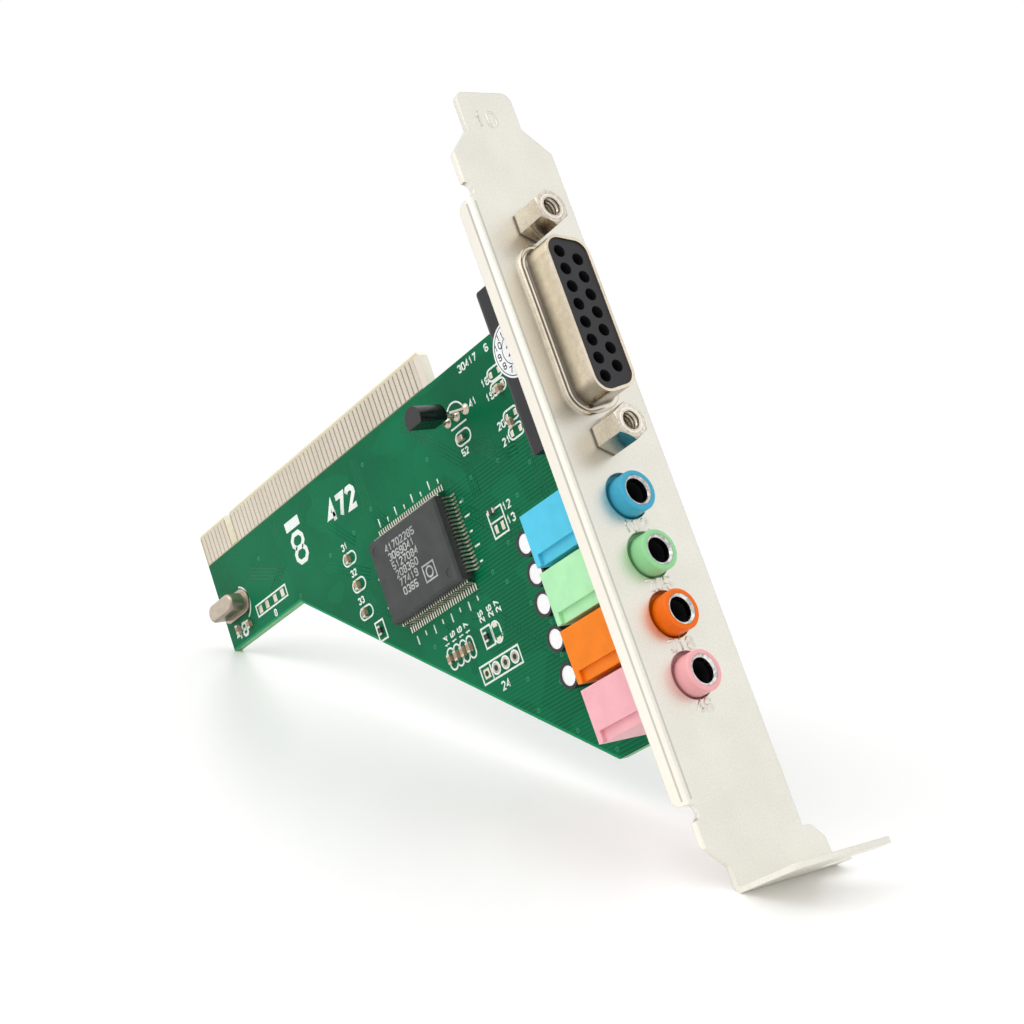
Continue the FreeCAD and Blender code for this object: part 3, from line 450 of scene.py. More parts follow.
def ribbon(path, width, height, place, closed=False):
    """Point = path + s times the width across it + h, for (s, h) over a low trapezoid with closed ends."""
    path = np.asarray(path, float)
    if closed:
        path = np.concatenate((path, path[:1]))
    profile = np.array(((-0.5, -0.5), (-0.4, 1.0), (0.4, 1.0), (0.5, -0.5)))
    side = mitres(path, closed)
    flat = path[:, None, :] + side[:, None, :] * profile[None, :, :1] * width
    rise = np.broadcast_to(profile[None, :, 1] * height, flat.shape[:2])
    grid = place(flat[..., 0], flat[..., 1], rise)
    if closed:
        return grid
    ends = grid.mean(axis=1, keepdims=True).repeat(4, axis=1)
    return np.concatenate((ends[:1], grid, ends[-1:]))


def bundle(path, count, pitch):
    """Paths beside a path: path + k times the pitch to its left."""
    path = np.asarray(path, float)
    side = mitres(path)
    return [path + side * pitch * number for number in range(count)]


def slab(x0, z0, x1, z1, height, place):
    """A low pad with sloping sides: rows and columns run over its outline, inset at the top."""
    cx, cz = (x0 + x1) / 2, (z0 + z1) / 2
    corners = np.array(((x0, z0), (x1, z0), (x1, z1), (x0, z1)), float)
    rows = []
    for share, rise in ((1.0, -0.5), (0.9, 0.8), (0.78, 1.0), (0.0, 1.0)):
        ring = (corners - (cx, cz)) * share + (cx, cz)
        rows.append(place(ring[:, 0], ring[:, 1], np.full(4, rise * height)))
    return np.stack(rows)


def arc(centre, radius, start, end, steps=24):
    """Point = centre + radius times the unit circle between two angles in degrees."""
    angle = np.radians(np.linspace(start, end, steps))
    return radius * np.stack((np.cos(angle), np.sin(angle)), axis=-1) + centre


def oval(centre, long_half, wide_half, upright):
    """A closed outline: two half circles joined by straight sides."""
    shift = long_half - wide_half
    top = arc((0, shift), wide_half, 0, 180, 13)
    low = arc((0, -shift), wide_half, 180, 360, 13)
    loop = np.concatenate((top, low))
    loop = loop if upright else loop[:, ::-1] * (1, -1)
    return loop + centre


def slanted_loop(grow, steps=10):
    """The port outline: point = middle of a corner + its radius, grown by grow, times the way outward."""
    half, long_half, slant = SHELL_HALF
    low, high = PORT_Z - long_half, PORT_Z + long_half
    corners = np.array(
        ((half, low + slant), (half, high - slant), (-half, high + slant), (-half, low - slant))
    )
    ahead = unit(np.roll(corners, -1, axis=0) - corners)
    behind = np.roll(ahead, 1, axis=0)
    turn = np.arccos((ahead * behind).sum(axis=1))
    middle = corners + unit(ahead - behind) * (SHELL_CORNER / np.cos(turn / 2))[:, None]
    first = np.arctan2(-behind[:, 0], behind[:, 1])
    angle = first[:, None] + turn[:, None] * np.linspace(0, 1, steps)[None, :]
    out = np.stack((np.cos(angle), np.sin(angle)), axis=-1)
    points = middle[:, None, :] + out * (SHELL_CORNER + grow)
    return points.reshape(-1, 2)


def written(text, corner, height, way):
    """The strokes of plain digits as flat paths, from a corner, read to the right or upward."""
    along, up = {"right": ((1, 0), (0, 1)), "up": ((0, 1), (-1, 0))}[way]
    size = height / DIGIT_ROWS
    paths = []
    for number, digit in enumerate(text):
        grid = np.array([(int(spot[0]), int(spot[1])) for spot in STROKES[digit].split()], float)
        grid[:, 0] += number * DIGIT_PITCH
        flat = grid[:, :1] * size * np.array(along) + grid[:, 1:] * size * np.array(up)
        paths.append(flat + corner)
    return paths


def level(height):
    """A plane of the component side: u is x, v is z and w stands off the height."""
    return lambda u, v, w: np.stack((u, height - w, v), axis=-1)


on_board = level(BOARD_FACE)
on_chip = level(CHIP_TOP)
on_label = level(LABEL_TOP)


def on_plate(u, v, w):
    """Bracket plane: u is y, v is z and w stands off the outer face."""
    return np.stack((w, u, v), axis=-1)


# Shader formulas


class Signal:
    """A shader socket that can be used in formulas."""

    def __init__(self, shading, socket):
        self.shading = shading
        self.socket = socket

    def calc(self, operation, *others):
        """A Math node on this value and up to two others."""
        inputs = dict(enumerate((self, *others)))
        return self.shading.node("ShaderNodeMath", {"operation": operation}, inputs)

    def __add__(self, other):
        return self.calc("ADD", other)

    __radd__ = __add__

    def __sub__(self, other):
        return self.calc("SUBTRACT", other)

    def __rsub__(self, other):
        return self * -1.0 + other

    def __mul__(self, other):
        return self.calc("MULTIPLY", other)

    __rmul__ = __mul__

    def __truediv__(self, other):
        return self.calc("DIVIDE", other)

    def __rtruediv__(self, other):
        return self.calc("POWER", -1.0) * other

    def __gt__(self, other):
        return self.calc("GREATER_THAN", other)

    def __lt__(self, other):
        return self.calc("LESS_THAN", other)

    def __abs__(self):
        return self.calc("ABSOLUTE")

    def steps(self, low, high):
        """0 up to low, 1 from high on, and smooth between."""
        return self.shading.node(
            "ShaderNodeMapRange",
            {"interpolation_type": "SMOOTHSTEP"},
            {"Value": self, "From Min": low, "From Max": high},
        )

    def band(self, rise, fall):
        """Rises over one pair of values and falls over the other, as steps does."""
        return self.steps(*rise) * self.steps(*fall)

    def within(self, low, high):
        """1 between low and high, and 0 elsewhere."""
        return (self > low) * (self < high)


class Shading:
    """The node tree of one material or world."""

    def __init__(self, owner):
        owner.use_nodes = True
        self.tree = owner.node_tree
        self.tree.nodes.clear()

    def plug(self, entry, value):
        """Links a signal to a socket, or sets a constant on it."""
        if isinstance(value, Signal):
            self.tree.links.new(value.socket, entry)
        elif entry.type == "RGBA" and len(value) == 3:
            entry.default_value = (*value, 1.0)
        else:
            entry.default_value = value

    def node(self, kind, settings=None, inputs=None, output=0):
        """Any node: its settings first, then its sockets. Gives one output, if the node has any."""
        made = self.tree.nodes.new(kind)
        for key, value in (settings or {}).items():
            setattr(made, key, value)
        for key, value in (inputs or {}).items():
            self.plug(made.inputs[key], value)
        return Signal(self, made.outputs[output]) if made.outputs else None

    def mix(self, factor, first, second):
        """Colour from first at 0 to second at 1."""
        return self.node("ShaderNodeMix", {"data_type": "RGBA"}, {0: factor, 6: first, 7: second}, output=2)

    def card(self, stretch=EVEN):
        """Card millimetres at the shaded point, stretched along each axis for a grain."""
        c, s = math.cos(LEAN), math.sin(LEAN)
        x, y, z = CARD_ORIGIN
        placement = {
            "Vector": self.node("ShaderNodeTexCoord", output="Object"),
            "Location": (-(x * c + z * s), -y, x * s - z * c),
            "Rotation": (0.0, LEAN, 0.0),
            "Scale": (1 / MILLIMETRE,) * 3,
        }
        flat = self.node("ShaderNodeMapping", None, placement)
        if stretch == EVEN:
            return flat
        return self.node("ShaderNodeVectorMath", {"operation": "MULTIPLY"}, {0: flat, 1: stretch})

    def split(self, vector):
        """The three components of a vector."""
        made = self.node("ShaderNodeSeparateXYZ", None, {0: vector}).socket.node
        return [Signal(self, part) for part in made.outputs]

    def noise(self, vector, scale, detail=3.0, roughness=0.5):
        """Noise between about 0.3 and 0.7, with scale in waves per millimetre."""
        inputs = {"Vector": vector, "Scale": scale, "Detail": detail, "Roughness": roughness}
        return self.node("ShaderNodeTexNoise", None, inputs)

    def relief(self, height, depth, rounding=0.0):
        """A normal from a height field, depth in millimetres, over edges rounded by rounding millimetres."""
        inputs = {"Height": height, "Distance": depth * MILLIMETRE, "Strength": 1.0}
        if rounding:
            inputs["Normal"] = self.node(
                "ShaderNodeBevel", {"samples": 6}, {"Radius": rounding * MILLIMETRE}
            )
        return self.node("ShaderNodeBump", None, inputs)

    def seen(self):
        """1 for rays from the camera and for those that metal and glass send on, 0 for soft light."""
        kinds = ("Camera", "Glossy", "Transmission")
        rays = [self.node("ShaderNodeLightPath", output=f"Is {kind} Ray") for kind in kinds]
        return rays[0] + rays[1] + rays[2]

    def surface(self, **inputs):
        """The Principled surface with these sockets, named with spaces as underscores."""
        names = {key.replace("_", " "): value for key, value in inputs.items()}
        self.finish(self.node("ShaderNodeBsdfPrincipled", None, names))

    def finish(self, shader, kind="ShaderNodeOutputMaterial"):
        """Plugs a shader in the output."""
        self.node(kind, None, {0: shader})


def fresh(name):
    """A new material and its shading."""
    material = bpy.data.materials.new(name)
    return material, Shading(material)


def tint(colour, share):
    """The colour with each part times the share."""
    return [part * share for part in colour]


def metal(
    name, colour, dark, roughness, grain, depth, rounding,
    specks=0.0, underside_shade=0.0, root=None, stretch=EVEN, fold_shade=0.0,
):
    """Plated metal: colour and roughness follow a stretched grain, with broad clouds and a few specks.

    grain is in waves a millimetre and depth is its height. underside_shade is painted shade on faces that
    look down, root is a pair of x over which painted shade fades from where a part meets the bracket or the
    lip meets the shell wall, and fold_shade is the strength of the painted shade lines along the bracket's
    bend, where the flange face also gets painted light."""
    material, s = fresh(name)
    fine = s.noise(s.card(stretch), grain, 4.0, 0.6)
    broad = s.noise(s.card(), 0.12, 3.0)
    plated = s.mix((fine * 0.6 + broad * 0.4).steps(0.35, 0.65), dark, colour)
    if specks:
        spots = s.noise(s.card(), 1.7, 2.0, 0.7).steps(0.72, 0.76)
        plated = s.mix(spots * specks, plated, tint(dark, 0.35))
    # Painted shade: faces that look down are darkened, and the broad clouds blur where this begins
    if underside_shade:
        x, _, z = s.split(s.node("ShaderNodeNewGeometry", output="Normal"))
        upward = z * math.cos(LEAN) - x * math.sin(LEAN)
        low = (upward + (broad - 0.5) * 0.3).steps(0.15, -0.45)
        plated = s.mix(low * underside_shade, plated, tint(dark, 0.2))
    # Painted light on the flange face, and painted shade lines along the bend
    if fold_shade:
        x, y, z = s.split(s.card())
        side = (y < FLANGE_Y) * x.band(*FOLD_SIDE_X)
        front = (x > -0.3) * y.band(*FOLD_FRONT_Y)
        lines = (side + front * 0.8) * z.within(*FLANGE_SPAN_Z)
        plated = s.mix((y < FLANGE_Y) * 0.75, plated, FLANGE_PAINTED_LIGHT)
        plated = s.mix(lines * fold_shade, plated, tint(dark, 0.45))
    # Painted shade: a dark band where the part meets the bracket, or where the lip meets the shell wall
    if root:
        root_shade = 1.0 - (s.split(s.card())[0] + (fine - 0.5) * 0.1).steps(*root)
        plated = s.mix(root_shade * 0.85, plated, ROOT_SHADE)
    s.surface(
        Base_Color=plated,
        Metallic=1.0,
        Roughness=(fine - 0.5) * 0.25 + (broad - 0.5) * 0.15 + roughness,
        Normal=s.relief(fine, depth, rounding),
    )
    return material


def plastic(name, colour, roughness, mottle, rounding, gloss=0.5, glow=0.0, nose_shade=None):
    """Moulded plastic: a slightly uneven colour, a fine texture in gloss and relief, and light let through.

    nose_shade is a darker copy of the colour, painted shade on what stands out in front of the bracket."""
    material, s = fresh(name)
    point = s.card()
    fine = s.noise(point, 6.0, 3.0)
    broad = s.noise(point, 0.35, 2.0)
    shade = tint(colour, 1 - mottle * 2.5)
    moulded = s.mix((broad * 0.7 + fine * 0.3).steps(0.35, 0.65), shade, colour)
    # Painted shade: what stands out in front of the bracket is darker
    if nose_shade:
        x = s.split(point)[0]
        moulded = s.mix(x.steps(*NOSE_SHADE_X), moulded, nose_shade)
        # Painted shadow: the housing seen through the bracket's window is darker
        moulded = s.mix(x.band(*WINDOW_SHADE_X) * 0.5, moulded, tint(colour, 0.2))
    s.surface(
        Base_Color=moulded,
        Roughness=(fine - 0.5) * 0.2 + roughness,
        Specular_IOR_Level=gloss,
        Subsurface_Weight=glow,
        Subsurface_Radius=(1.0, 1.0, 1.0),
        Subsurface_Scale=0.6 * MILLIMETRE,
        Normal=s.relief(fine, 0.006, rounding),
    )
    return material


def board_material(green, bare):
    """Solder mask over copper, with stripes by z near the bracket, a bare tongue and bright cut edges."""
    material, s = fresh("solder_mask")
    point = s.card()
    x, _, z = s.split(point)
    weave = s.noise(s.card((1.0, 0.2, 4.0)), 1.6, 2.0)
    broad = s.noise(point, 0.06, 3.0)
    fine = s.noise(point, 9.0, 2.0)
    light = tint(green, 1.22)
    face = s.mix((broad * 0.6 + weave * 0.4).steps(0.36, 0.64), tint(green, 0.72), green)
    stripes = (z * (2 * math.pi / HATCH_PITCH)).calc("SINE").steps(-0.2, 0.5)
    hatched = (x - HATCH_X + (broad - 0.5) * 20.0).steps(-3.0, 3.0) * (z < HATCH_TOP_Z)
    face = s.mix((1 - stripes) * hatched * 0.75, face, tint(green, 0.6))
    face = s.mix(stripes * hatched * 0.45, face, light)
    pours = s.noise(s.card((0.6, 0.6, 1.0)), 0.16, 1.0, 0.3).steps(0.53, 0.55)
    face = s.mix(pours * 0.3, face, light)
    slope = (x - SLANT_FOOT[0]) * SLANT_ACROSS[0] + (z - SLANT_FOOT[1]) * SLANT_ACROSS[1]
    trim = (x > ARM_X) * slope.steps(*TRIM) + (x < ARM_X) * (z - ARM_Z).steps(*TRIM)
    face = s.mix(trim * 0.6, face, [part * 2.2 + 0.01 for part in green])
    normal = s.split(s.node("ShaderNodeNewGeometry", output="True Normal"))
    facing = abs(normal[1]).steps(0.3, 0.7)
    coloured = s.mix(facing, s.mix(fine.steps(0.4, 0.6), *CUT_GREENS), face)
    dusty = s.mix(fine.steps(0.38, 0.62), tint(bare, 0.86), bare)
    gaps = s.mix(x.steps(*GAP_SHADE_X), tint(bare, 0.62), tint(bare, 0.40))
    gaps = s.mix(x > LAST_FINGER_X, gaps, BARE_STRIP)
    laminate = s.mix((z < FINGER_END_Z) * facing, dusty, gaps)
    end = (normal[0] * math.cos(LEAN) + normal[2] * math.sin(LEAN)).steps(0.4, 0.7)
    laminate = s.mix(end, laminate, TONGUE_END)
    tongue = (z + (fine - 0.5) * 0.1).steps(TONGUE_Z, TONGUE_Z + 0.12)
    s.surface(
        Base_Color=s.mix(tongue, coloured, laminate),
        Roughness=(weave - 0.5) * 0.2 + 0.36,
        Specular_IOR_Level=0.09,
        Normal=s.relief(weave * 0.5 + fine * 0.2 + stripes * hatched * 0.3, 0.012, 0.05),
    )
    return material


def ink_material():
    """Screen-printed ink: dull white with a grain that lets a little of the mask through."""
    material, s = fresh("board_ink")
    fine = s.noise(s.card(), 8.0, 3.0)
    s.surface(
        Base_Color=s.mix(fine.steps(0.34, 0.52), *INK_TONES),
        Roughness=(fine - 0.5) * 0.2 + 0.6,
        Normal=s.relief(fine, 0.01),
    )
    return material


def trace_material(green):
    """Mask over a copper line: the green of the board, uneven along the line and fainter by the chip."""
    material, s = fresh("masked_copper")
    fine = s.noise(s.card(), 2.2, 3.0)
    copper = s.mix(fine.steps(0.35, 0.62), tint(green, 0.55), tint(green, 0.88))
    fading = s.split(s.card())[0].steps(*TRACE_FADE_X) * 0.75
    s.surface(
        Base_Color=s.mix(fading, copper, green),
        Roughness=(fine - 0.5) * 0.2 + 0.34,
        Specular_IOR_Level=0.09,
        Normal=s.relief(fine, 0.006),
    )
    return material


MATERIALS = {}


def make_materials(colours):
    """Every finish, by the slot of the record it belongs to, and the finishes of the small surfaces."""
    plate, green = tuple(colours.bracket), tuple(colours.board)
    for key, values in METALS.items():
        MATERIALS[key] = metal(*values)
    for key, values in PLASTICS.items():
        MATERIALS[key] = plastic(*values)
    # Each jack gets a darker copy of its colour as painted shade in front of the bracket
    for key, share in NOSE_SHADES.items():
        colour = tuple(getattr(colours, key))
        nose_shade = [part * left for part, left in zip(colour, share)]
        MATERIALS[f"jack_{key}"] = plastic(
            f"{key}_plastic", colour, 0.36, 0.03, 0.14, 0.22, glow=0.3, nose_shade=nose_shade
        )
    MATERIALS["bracket"] = metal(
        "satin_nickel", plate, tint(plate, 0.9), 0.38, 3.2, 0.0012, 0.22, specks=0.3, fold_shade=0.6
    )
    MATERIALS["circuit_board"] = board_material(green, tuple(colours.laminate))
    MATERIALS["ink"] = ink_material()
    MATERIALS["trace"] = trace_material(green)
    ring_green = [part * 1.7 + 0.01 for part in green]
    MATERIALS["via_ring"] = plastic("via_ring", ring_green, 0.4, 0.1, 0.0, 0.2)


# Property groups


def colour_of(name, what, default):
    """A setting for the colour of something."""
    description = f"Colour of the {what}"
    return bpy.props.FloatVectorProperty(name=name, description=description, default=default, subtype="COLOR")


def number(name, description, default):
    """A setting for a plain number."""
    return bpy.props.FloatProperty(name=name, description=description, default=default)


def length(name, description, default):
    """A setting for a length in millimetres of the card."""
    return number(name, f"{description}, in millimetres", default)


class FinishSettings(bpy.types.PropertyGroup):
    bracket: colour_of("Bracket", "plated sheet", (0.875, 0.85, 0.765))
    board: colour_of("Board", "solder mask", (0.002, 0.165, 0.067))
    laminate: colour_of("Laminate", "bare tongue", (0.76, 0.68, 0.44))
    blue: colour_of("Top Jack", "first jack", (0.095, 0.60, 0.83))
    green: colour_of("Second Jack", "second jack", (0.47, 0.88, 0.50))
    orange: colour_of("Third Jack", "third jack", (0.95, 0.235, 0.006))
    pink: colour_of("Lowest Jack", "fourth jack", (0.95, 0.48, 0.53))


class JackSettings(bpy.types.PropertyGroup):
    ring: length("Ring Radius", "Outer radius of a jack's metal ring", 2.25)
    bore: length("Bore Radius", "Inner radius of a jack's metal ring", 1.76)


class PortSettings(bpy.types.PropertyGroup):
    flare: length("Flare", "How far the rolled lip reaches from the shell", 1.05)
    thread_pitch: length("Thread Pitch", "Pitch of the jackscrew thread", 0.635)
    thread_depth: length("Thread Depth", "Depth of the jackscrew thread", 0.22)


class MarkSettings(bpy.types.PropertyGroup):
    line: length("Line", "Width of a printed line", 0.33)
    ink: length("Ink", "Height of the ink over the mask", 0.02)
    stamp_width: length("Stamp Width", "Width of a stamped stroke", 0.34)
    stamp_height: length("Stamp Height", "Height of a stamped stroke", 0.1)


class CameraSettings(bpy.types.PropertyGroup):
    location: bpy.props.FloatVectorProperty(
        name="Location",
        description="Where the camera stands in the row frame",
        default=(0.25072, -0.20312, 0.09955),
        unit="LENGTH",
        subtype="TRANSLATION",
    )
    turn: bpy.props.FloatVectorProperty(
        name="Turn",
        description="Tilt, roll and heading of the camera",
        default=(math.radians(79.1597), math.radians(-2.1531), math.radians(49.9111)),
        subtype="EULER",
    )
    lens: number("Lens", "Focal length on a 36 mm sensor", 75.634)


class StageSettings(bpy.types.PropertyGroup):
    half_width: bpy.props.FloatProperty(
        name="Floor Half Width",
        description="How far the floor reaches from the object",
        default=4.0,
        unit="LENGTH",
    )
    key_power: number("Key Power", "Power of the soft key light", 3.0)
    fill_power: number("Fill Power", "Power of the soft light from above", 0.8)
    sky: number("Sky", "Brightness of the surroundings", 1.0)


# Operators


def smooth_group():
    """A geometry group that merges loose triangles and shades all but the sharp edges smooth."""
    group = bpy.data.node_groups.new("soft_shading", "GeometryNodeTree")
    group.interface.new_socket("Geometry", in_out="INPUT", socket_type="NodeSocketGeometry")
    group.interface.new_socket("Geometry", in_out="OUTPUT", socket_type="NodeSocketGeometry")
    nodes, links = group.nodes, group.links
    start = nodes.new("NodeGroupInput")
    merge = nodes.new("GeometryNodeMergeByDistance")
    merge.inputs["Distance"].default_value = LOOSE
    angle = nodes.new("GeometryNodeInputMeshEdgeAngle")
    flat = nodes.new("FunctionNodeCompare")
    flat.operation = "LESS_THAN"
    flat.inputs[1].default_value = SMOOTH_ANGLE
    faces, edges = (nodes.new("GeometryNodeSetShadeSmooth") for _ in range(2))
    faces.domain, edges.domain = "FACE", "EDGE"
    end = nodes.new("NodeGroupOutput")
    links.new(start.outputs[0], merge.inputs["Geometry"])
    links.new(merge.outputs[0], faces.inputs["Geometry"])
    links.new(faces.outputs[0], edges.inputs["Geometry"])
    links.new(angle.outputs["Unsigned Angle"], flat.inputs[0])
    links.new(flat.outputs[0], edges.inputs["Shade Smooth"])
    links.new(edges.outputs[0], end.inputs[0])
    return group


class CARD_OT_finishes(bpy.types.Operator):
    """Gives every solid its finish and shades its curved faces smooth"""

    bl_idname = "card.finishes"
    bl_label = "Finishes"

    def execute(self, context):
        make_materials(context.scene.card_finishes)
        group = smooth_group()
        slots = {part["node"]: part["material_slot"] for part in frame["record"]["subparts"]}
        for name, node in frame["nodes"].items():
            node.data.materials.clear()
            node.data.materials.append(MATERIALS[slots[name]])
            node.modifiers.new("soft_shading", "NODES").node_group = group
        return {"FINISHED"}


class CARD_OT_jacks(bpy.types.Operator):
    """Adds the metal rings of the jacks, and a black lining in each bore, painted shade for its deep inside
    """

    bl_idname = "card.jacks"
    bl_label = "Jack Rings"

    def execute(self, context):
        ring, bore = context.scene.card_jacks.ring, context.scene.card_jacks.bore
        rings, bore_shades = Patches(), Patches()
        for z in JACK_Z:
            centre = (0.0, JACK_AXIS_Y, z)
            outside = ((ring, 1.9), (ring, 2.44), (ring - 0.06, 2.51), (ring - 0.16, 2.50))
            inside = ((bore + 0.12, 2.30), (bore + 0.02, 2.18), (bore, 1.9), (bore, 1.2))
            rings.add(revolved(outside + inside, centre), around=True)
            # Painted shade: a black lining, closed at the back, stands in for the dark deep inside of the
            # jack
            hole = ((bore, 1.2), (bore - 0.02, -4.0), (bore - 0.1, -9.0), (0.0, -9.0))
            bore_shades.add(revolved(hole, centre), around=True)
        rings = rings.make("jack_rings", "sleeve_metal", "sleeve_metal")
        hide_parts("jack_sleeves")
        bore_shades.make("jack_bores", "port_black", "port_black")
        return {"FINISHED"}


class CARD_OT_port(bpy.types.Operator):
    """Adds the rolled lip at the root of the port, and the threads and mouths of the jackscrews"""

    bl_idname = "card.port"
    bl_label = "Port Details"

    def execute(self, context):
        settings = context.scene.card_port
        lip = Patches()
        valley = [(-0.08, 1.5), (0.0, 1.1), (0.07, 0.75), (0.25, 0.5), (settings.flare - 0.5, 0.42)]
        brow = arc((settings.flare - LIP_ROLL, 0.24), LIP_ROLL, 90, 0, 7).tolist()
        lip.add(carried([*valley, *brow, (settings.flare, 0.0)]), around=True)
        lip.make("port_lip", "port_shell", "port_lip")
        threads, mouths = Patches(), Patches()
        for z in JACKSCREW_Z:
            centre = (0.0, 0.0, z)
            pitch, depth, end = settings.thread_pitch, settings.thread_depth, JACKSCREW_END
            threads.add(helix(THREAD_RADIUS, depth, pitch, THREAD_START, end - 0.3, centre))
            rim = ((1.95, end - 0.01), (1.86, end + 0.05), (1.76, end + 0.05), (1.60, end - 0.08))
            mouth = (*rim, (THREAD_RADIUS - 0.01, end - 0.3))
            mouths.add(revolved(mouth, centre), around=True)
        threads.make("jackscrew_threads", "jackscrew", "jackscrew")
        mouths.make("jackscrew_mouths", "jackscrew", "mouth_metal")
        return {"FINISHED"}


class CARD_OT_board_marks(bpy.types.Operator):
    """Prints the ink of the component face, and lays its copper lines, vias and pads"""

    bl_idname = "card.board_marks"
    bl_label = "Board Marks"

    def execute(self, context):
        line, ink = context.scene.card_marks.line, context.scene.card_marks.ink
        self.print_ink(line, ink)
        self.lay_copper(ink)
        self.add_pads(ink)
        return {"FINISHED"}

    def print_ink(self, line, ink):
        """Ribbons along every outline and stroke of the ink."""
        prints = Patches()
        loops = [((x0, z0), (x1, z0), (x1, z1), (x0, z1)) for x0, z0, x1, z1 in INK_BOXES]
        for long_half, wide_half, upright, spots in INK_OVALS:
            loops += [oval(spot, long_half, wide_half, upright) for spot in spots]
        loops += [arc((x, z), radius, 0, 350, 36) for x, z, radius in INK_RINGS]
        for loop in loops:
            prints.add(ribbon(loop, line, ink, on_board, closed=True))
        for path in (*INK_LINES, *(arc(*values) for values in INK_ARCS), *self.ticks()):
            prints.add(ribbon(path, line, ink, on_board))
        for height, way, rows in INK_DIGITS:
            for text, x, z in rows:
                prints.write(text, (x, z), height, line * 0.9, ink, on_board, way)
        for text, x, z, height, width in INK_BOLD:
            prints.write(text, (x, z), height, width, ink, on_board)
        prints.add(slab(*INK_BAR, ink, on_board), around=True)
        prints.make("board_print", "label", "ink")

    def ticks(self):
        """Marks round the chip at an even pitch, long and short in turn."""
        cx, cz = CHIP_CENTRE
        marks = []
        for number in range(-3, 5):
            x = cx + TICK_PITCH_X * (number - 0.45)
            reach = 1.5 if number % 2 else 0.8
            marks.append(((x, cz + TICKS_ABOVE), (x, cz + TICKS_ABOVE + reach)))
            marks.append(((x, cz + TICKS_BELOW), (x, cz + TICKS_BELOW - reach)))
        for number in range(-2, 3):
            z = cz + TICK_PITCH_Z * (number - 0.15)
            reach = 1.4 if number % 2 else 0.8
            for side in (1, -1):
                marks.append(((cx + side * TICKS_BESIDE, z), (cx + side * (TICKS_BESIDE + reach), z)))
        return marks

    def lay_copper(self, ink):
        """Ribbons along each bundle of copper lines, and a ring round each via."""
        lines, rings, holes = Patches(), Patches(), Patches()
        for path, count, pitch in TRACES:
            for route in bundle(path, count, pitch):
                lines.add(ribbon(route, TRACE_WIDTH, ink * 0.6, on_board))
        for x, z in VIA_SPOTS:
            centre = (x, BOARD_FACE, z)
            rings.add(revolved(VIA_WALL, centre, "-y", 16), around=True)
            # Painted shade: a flat dark disc over the via
            holes.add(revolved(VIA_HOLE_SHADE, centre, "-y", 16), around=True)
        lines.make("board_traces", "circuit_board", "trace")
        rings.make("via_rings", "circuit_board", "via_ring")
        holes.make("via_holes", "circuit_board", "hole")

    def add_pads(self, ink):
        """Low pads of the empty places, and domes of solder round the leaded holes."""
        pads, domes, holes = Patches(), Patches(), Patches()
        for width, height, corners in PADS:
            for x, z in corners:
                pads.add(slab(x, z, x + width, z + height, ink * 2, on_board), around=True)
        for x, z in WIRE_SPOTS:
            domes.add(revolved(WIRE_DOME, (x, BOARD_FACE, z), "-y", 24), around=True)
        x, z = HEADER_SPOTS[0]
        half = HEADER_PAD_HALF
        pads.add(slab(x - half, z - half, x + half, z + half, ink * 2, on_board), around=True)
        for x, z in HEADER_SPOTS[1:]:
            domes.add(revolved(HEADER_WALL, (x, BOARD_FACE, z), "-y", 24), around=True)
        for x, z in HEADER_SPOTS:
            # Painted shade: a flat dark disc over each header hole
            holes.add(revolved(HEADER_HOLE_SHADE, (x, BOARD_FACE, z), "-y", 20), around=True)
        pads.make("empty_pads", "contacts", "tinned_pad")
        domes.make("pad_domes", "solder", "solder_dome")
        holes.make("pad_holes", "circuit_board", "hole")


class CARD_OT_chip_marks(bpy.types.Operator):
    """Prints rows of plain digits on the chip, and rings and hours on the round label"""

    bl_idname = "card.chip_marks"
    bl_label = "Chip and Label Marks"

    def execute(self, context):
        thin = context.scene.card_marks.ink * 0.5
        chip, label = Patches(), Patches()
        for number, text in enumerate(CHIP_ROWS):
            chip.write(text, CHIP_CORNER + CHIP_STEP * number, CHIP_DIGIT, CHIP_DIGIT_LINE, thin, on_chip)
        chip.add(ribbon(CHIP_FRAME, CHIP_FRAME_LINE, thin, on_chip, closed=True))
        chip.add(ribbon(arc(*CHIP_RING, 0, 350, 24), CHIP_RING_LINE, thin, on_chip, closed=True))
        chip.make("chip_print", "chip_black", "chip_print")
        centre = np.array(LABEL_CENTRE)
        for radius in LABEL_RINGS:
            label.add(ribbon(arc(centre, radius, 0, 354, 60), LABEL_LINE, thin, on_label, closed=True))
        for hour in range(1, 13):
            angle = math.radians(90 - 30 * hour)
            text = str(hour)
            spot = centre + HOUR_CIRCLE * np.array((math.cos(angle), math.sin(angle)))
            corner = spot - (0.5 * len(text) - 0.15, HOUR_DIGIT / 2)
            label.write(text, corner, HOUR_DIGIT, HOUR_LINE, thin, on_label)
        label.write("24", centre - (1.1, 0.7), 1.4, 0.26, thin, on_label)
        label.make("label_print", "label", "print_grey")
        return {"FINISHED"}


class CARD_OT_stamps(bpy.types.Operator):
    """Raises the stamped figures on the outer face of the bracket"""

    bl_idname = "card.stamps"
    bl_label = "Stamped Figures"

    def execute(self, context):
        marks = context.scene.card_marks
        stamps = Patches()
        for text, y, z, height in STAMPS:
            stamps.write(text, (y, z), height, marks.stamp_width, marks.stamp_height, on_plate)
        stamps.make("bracket_stamps", "bracket", "bracket")
        return {"FINISHED"}


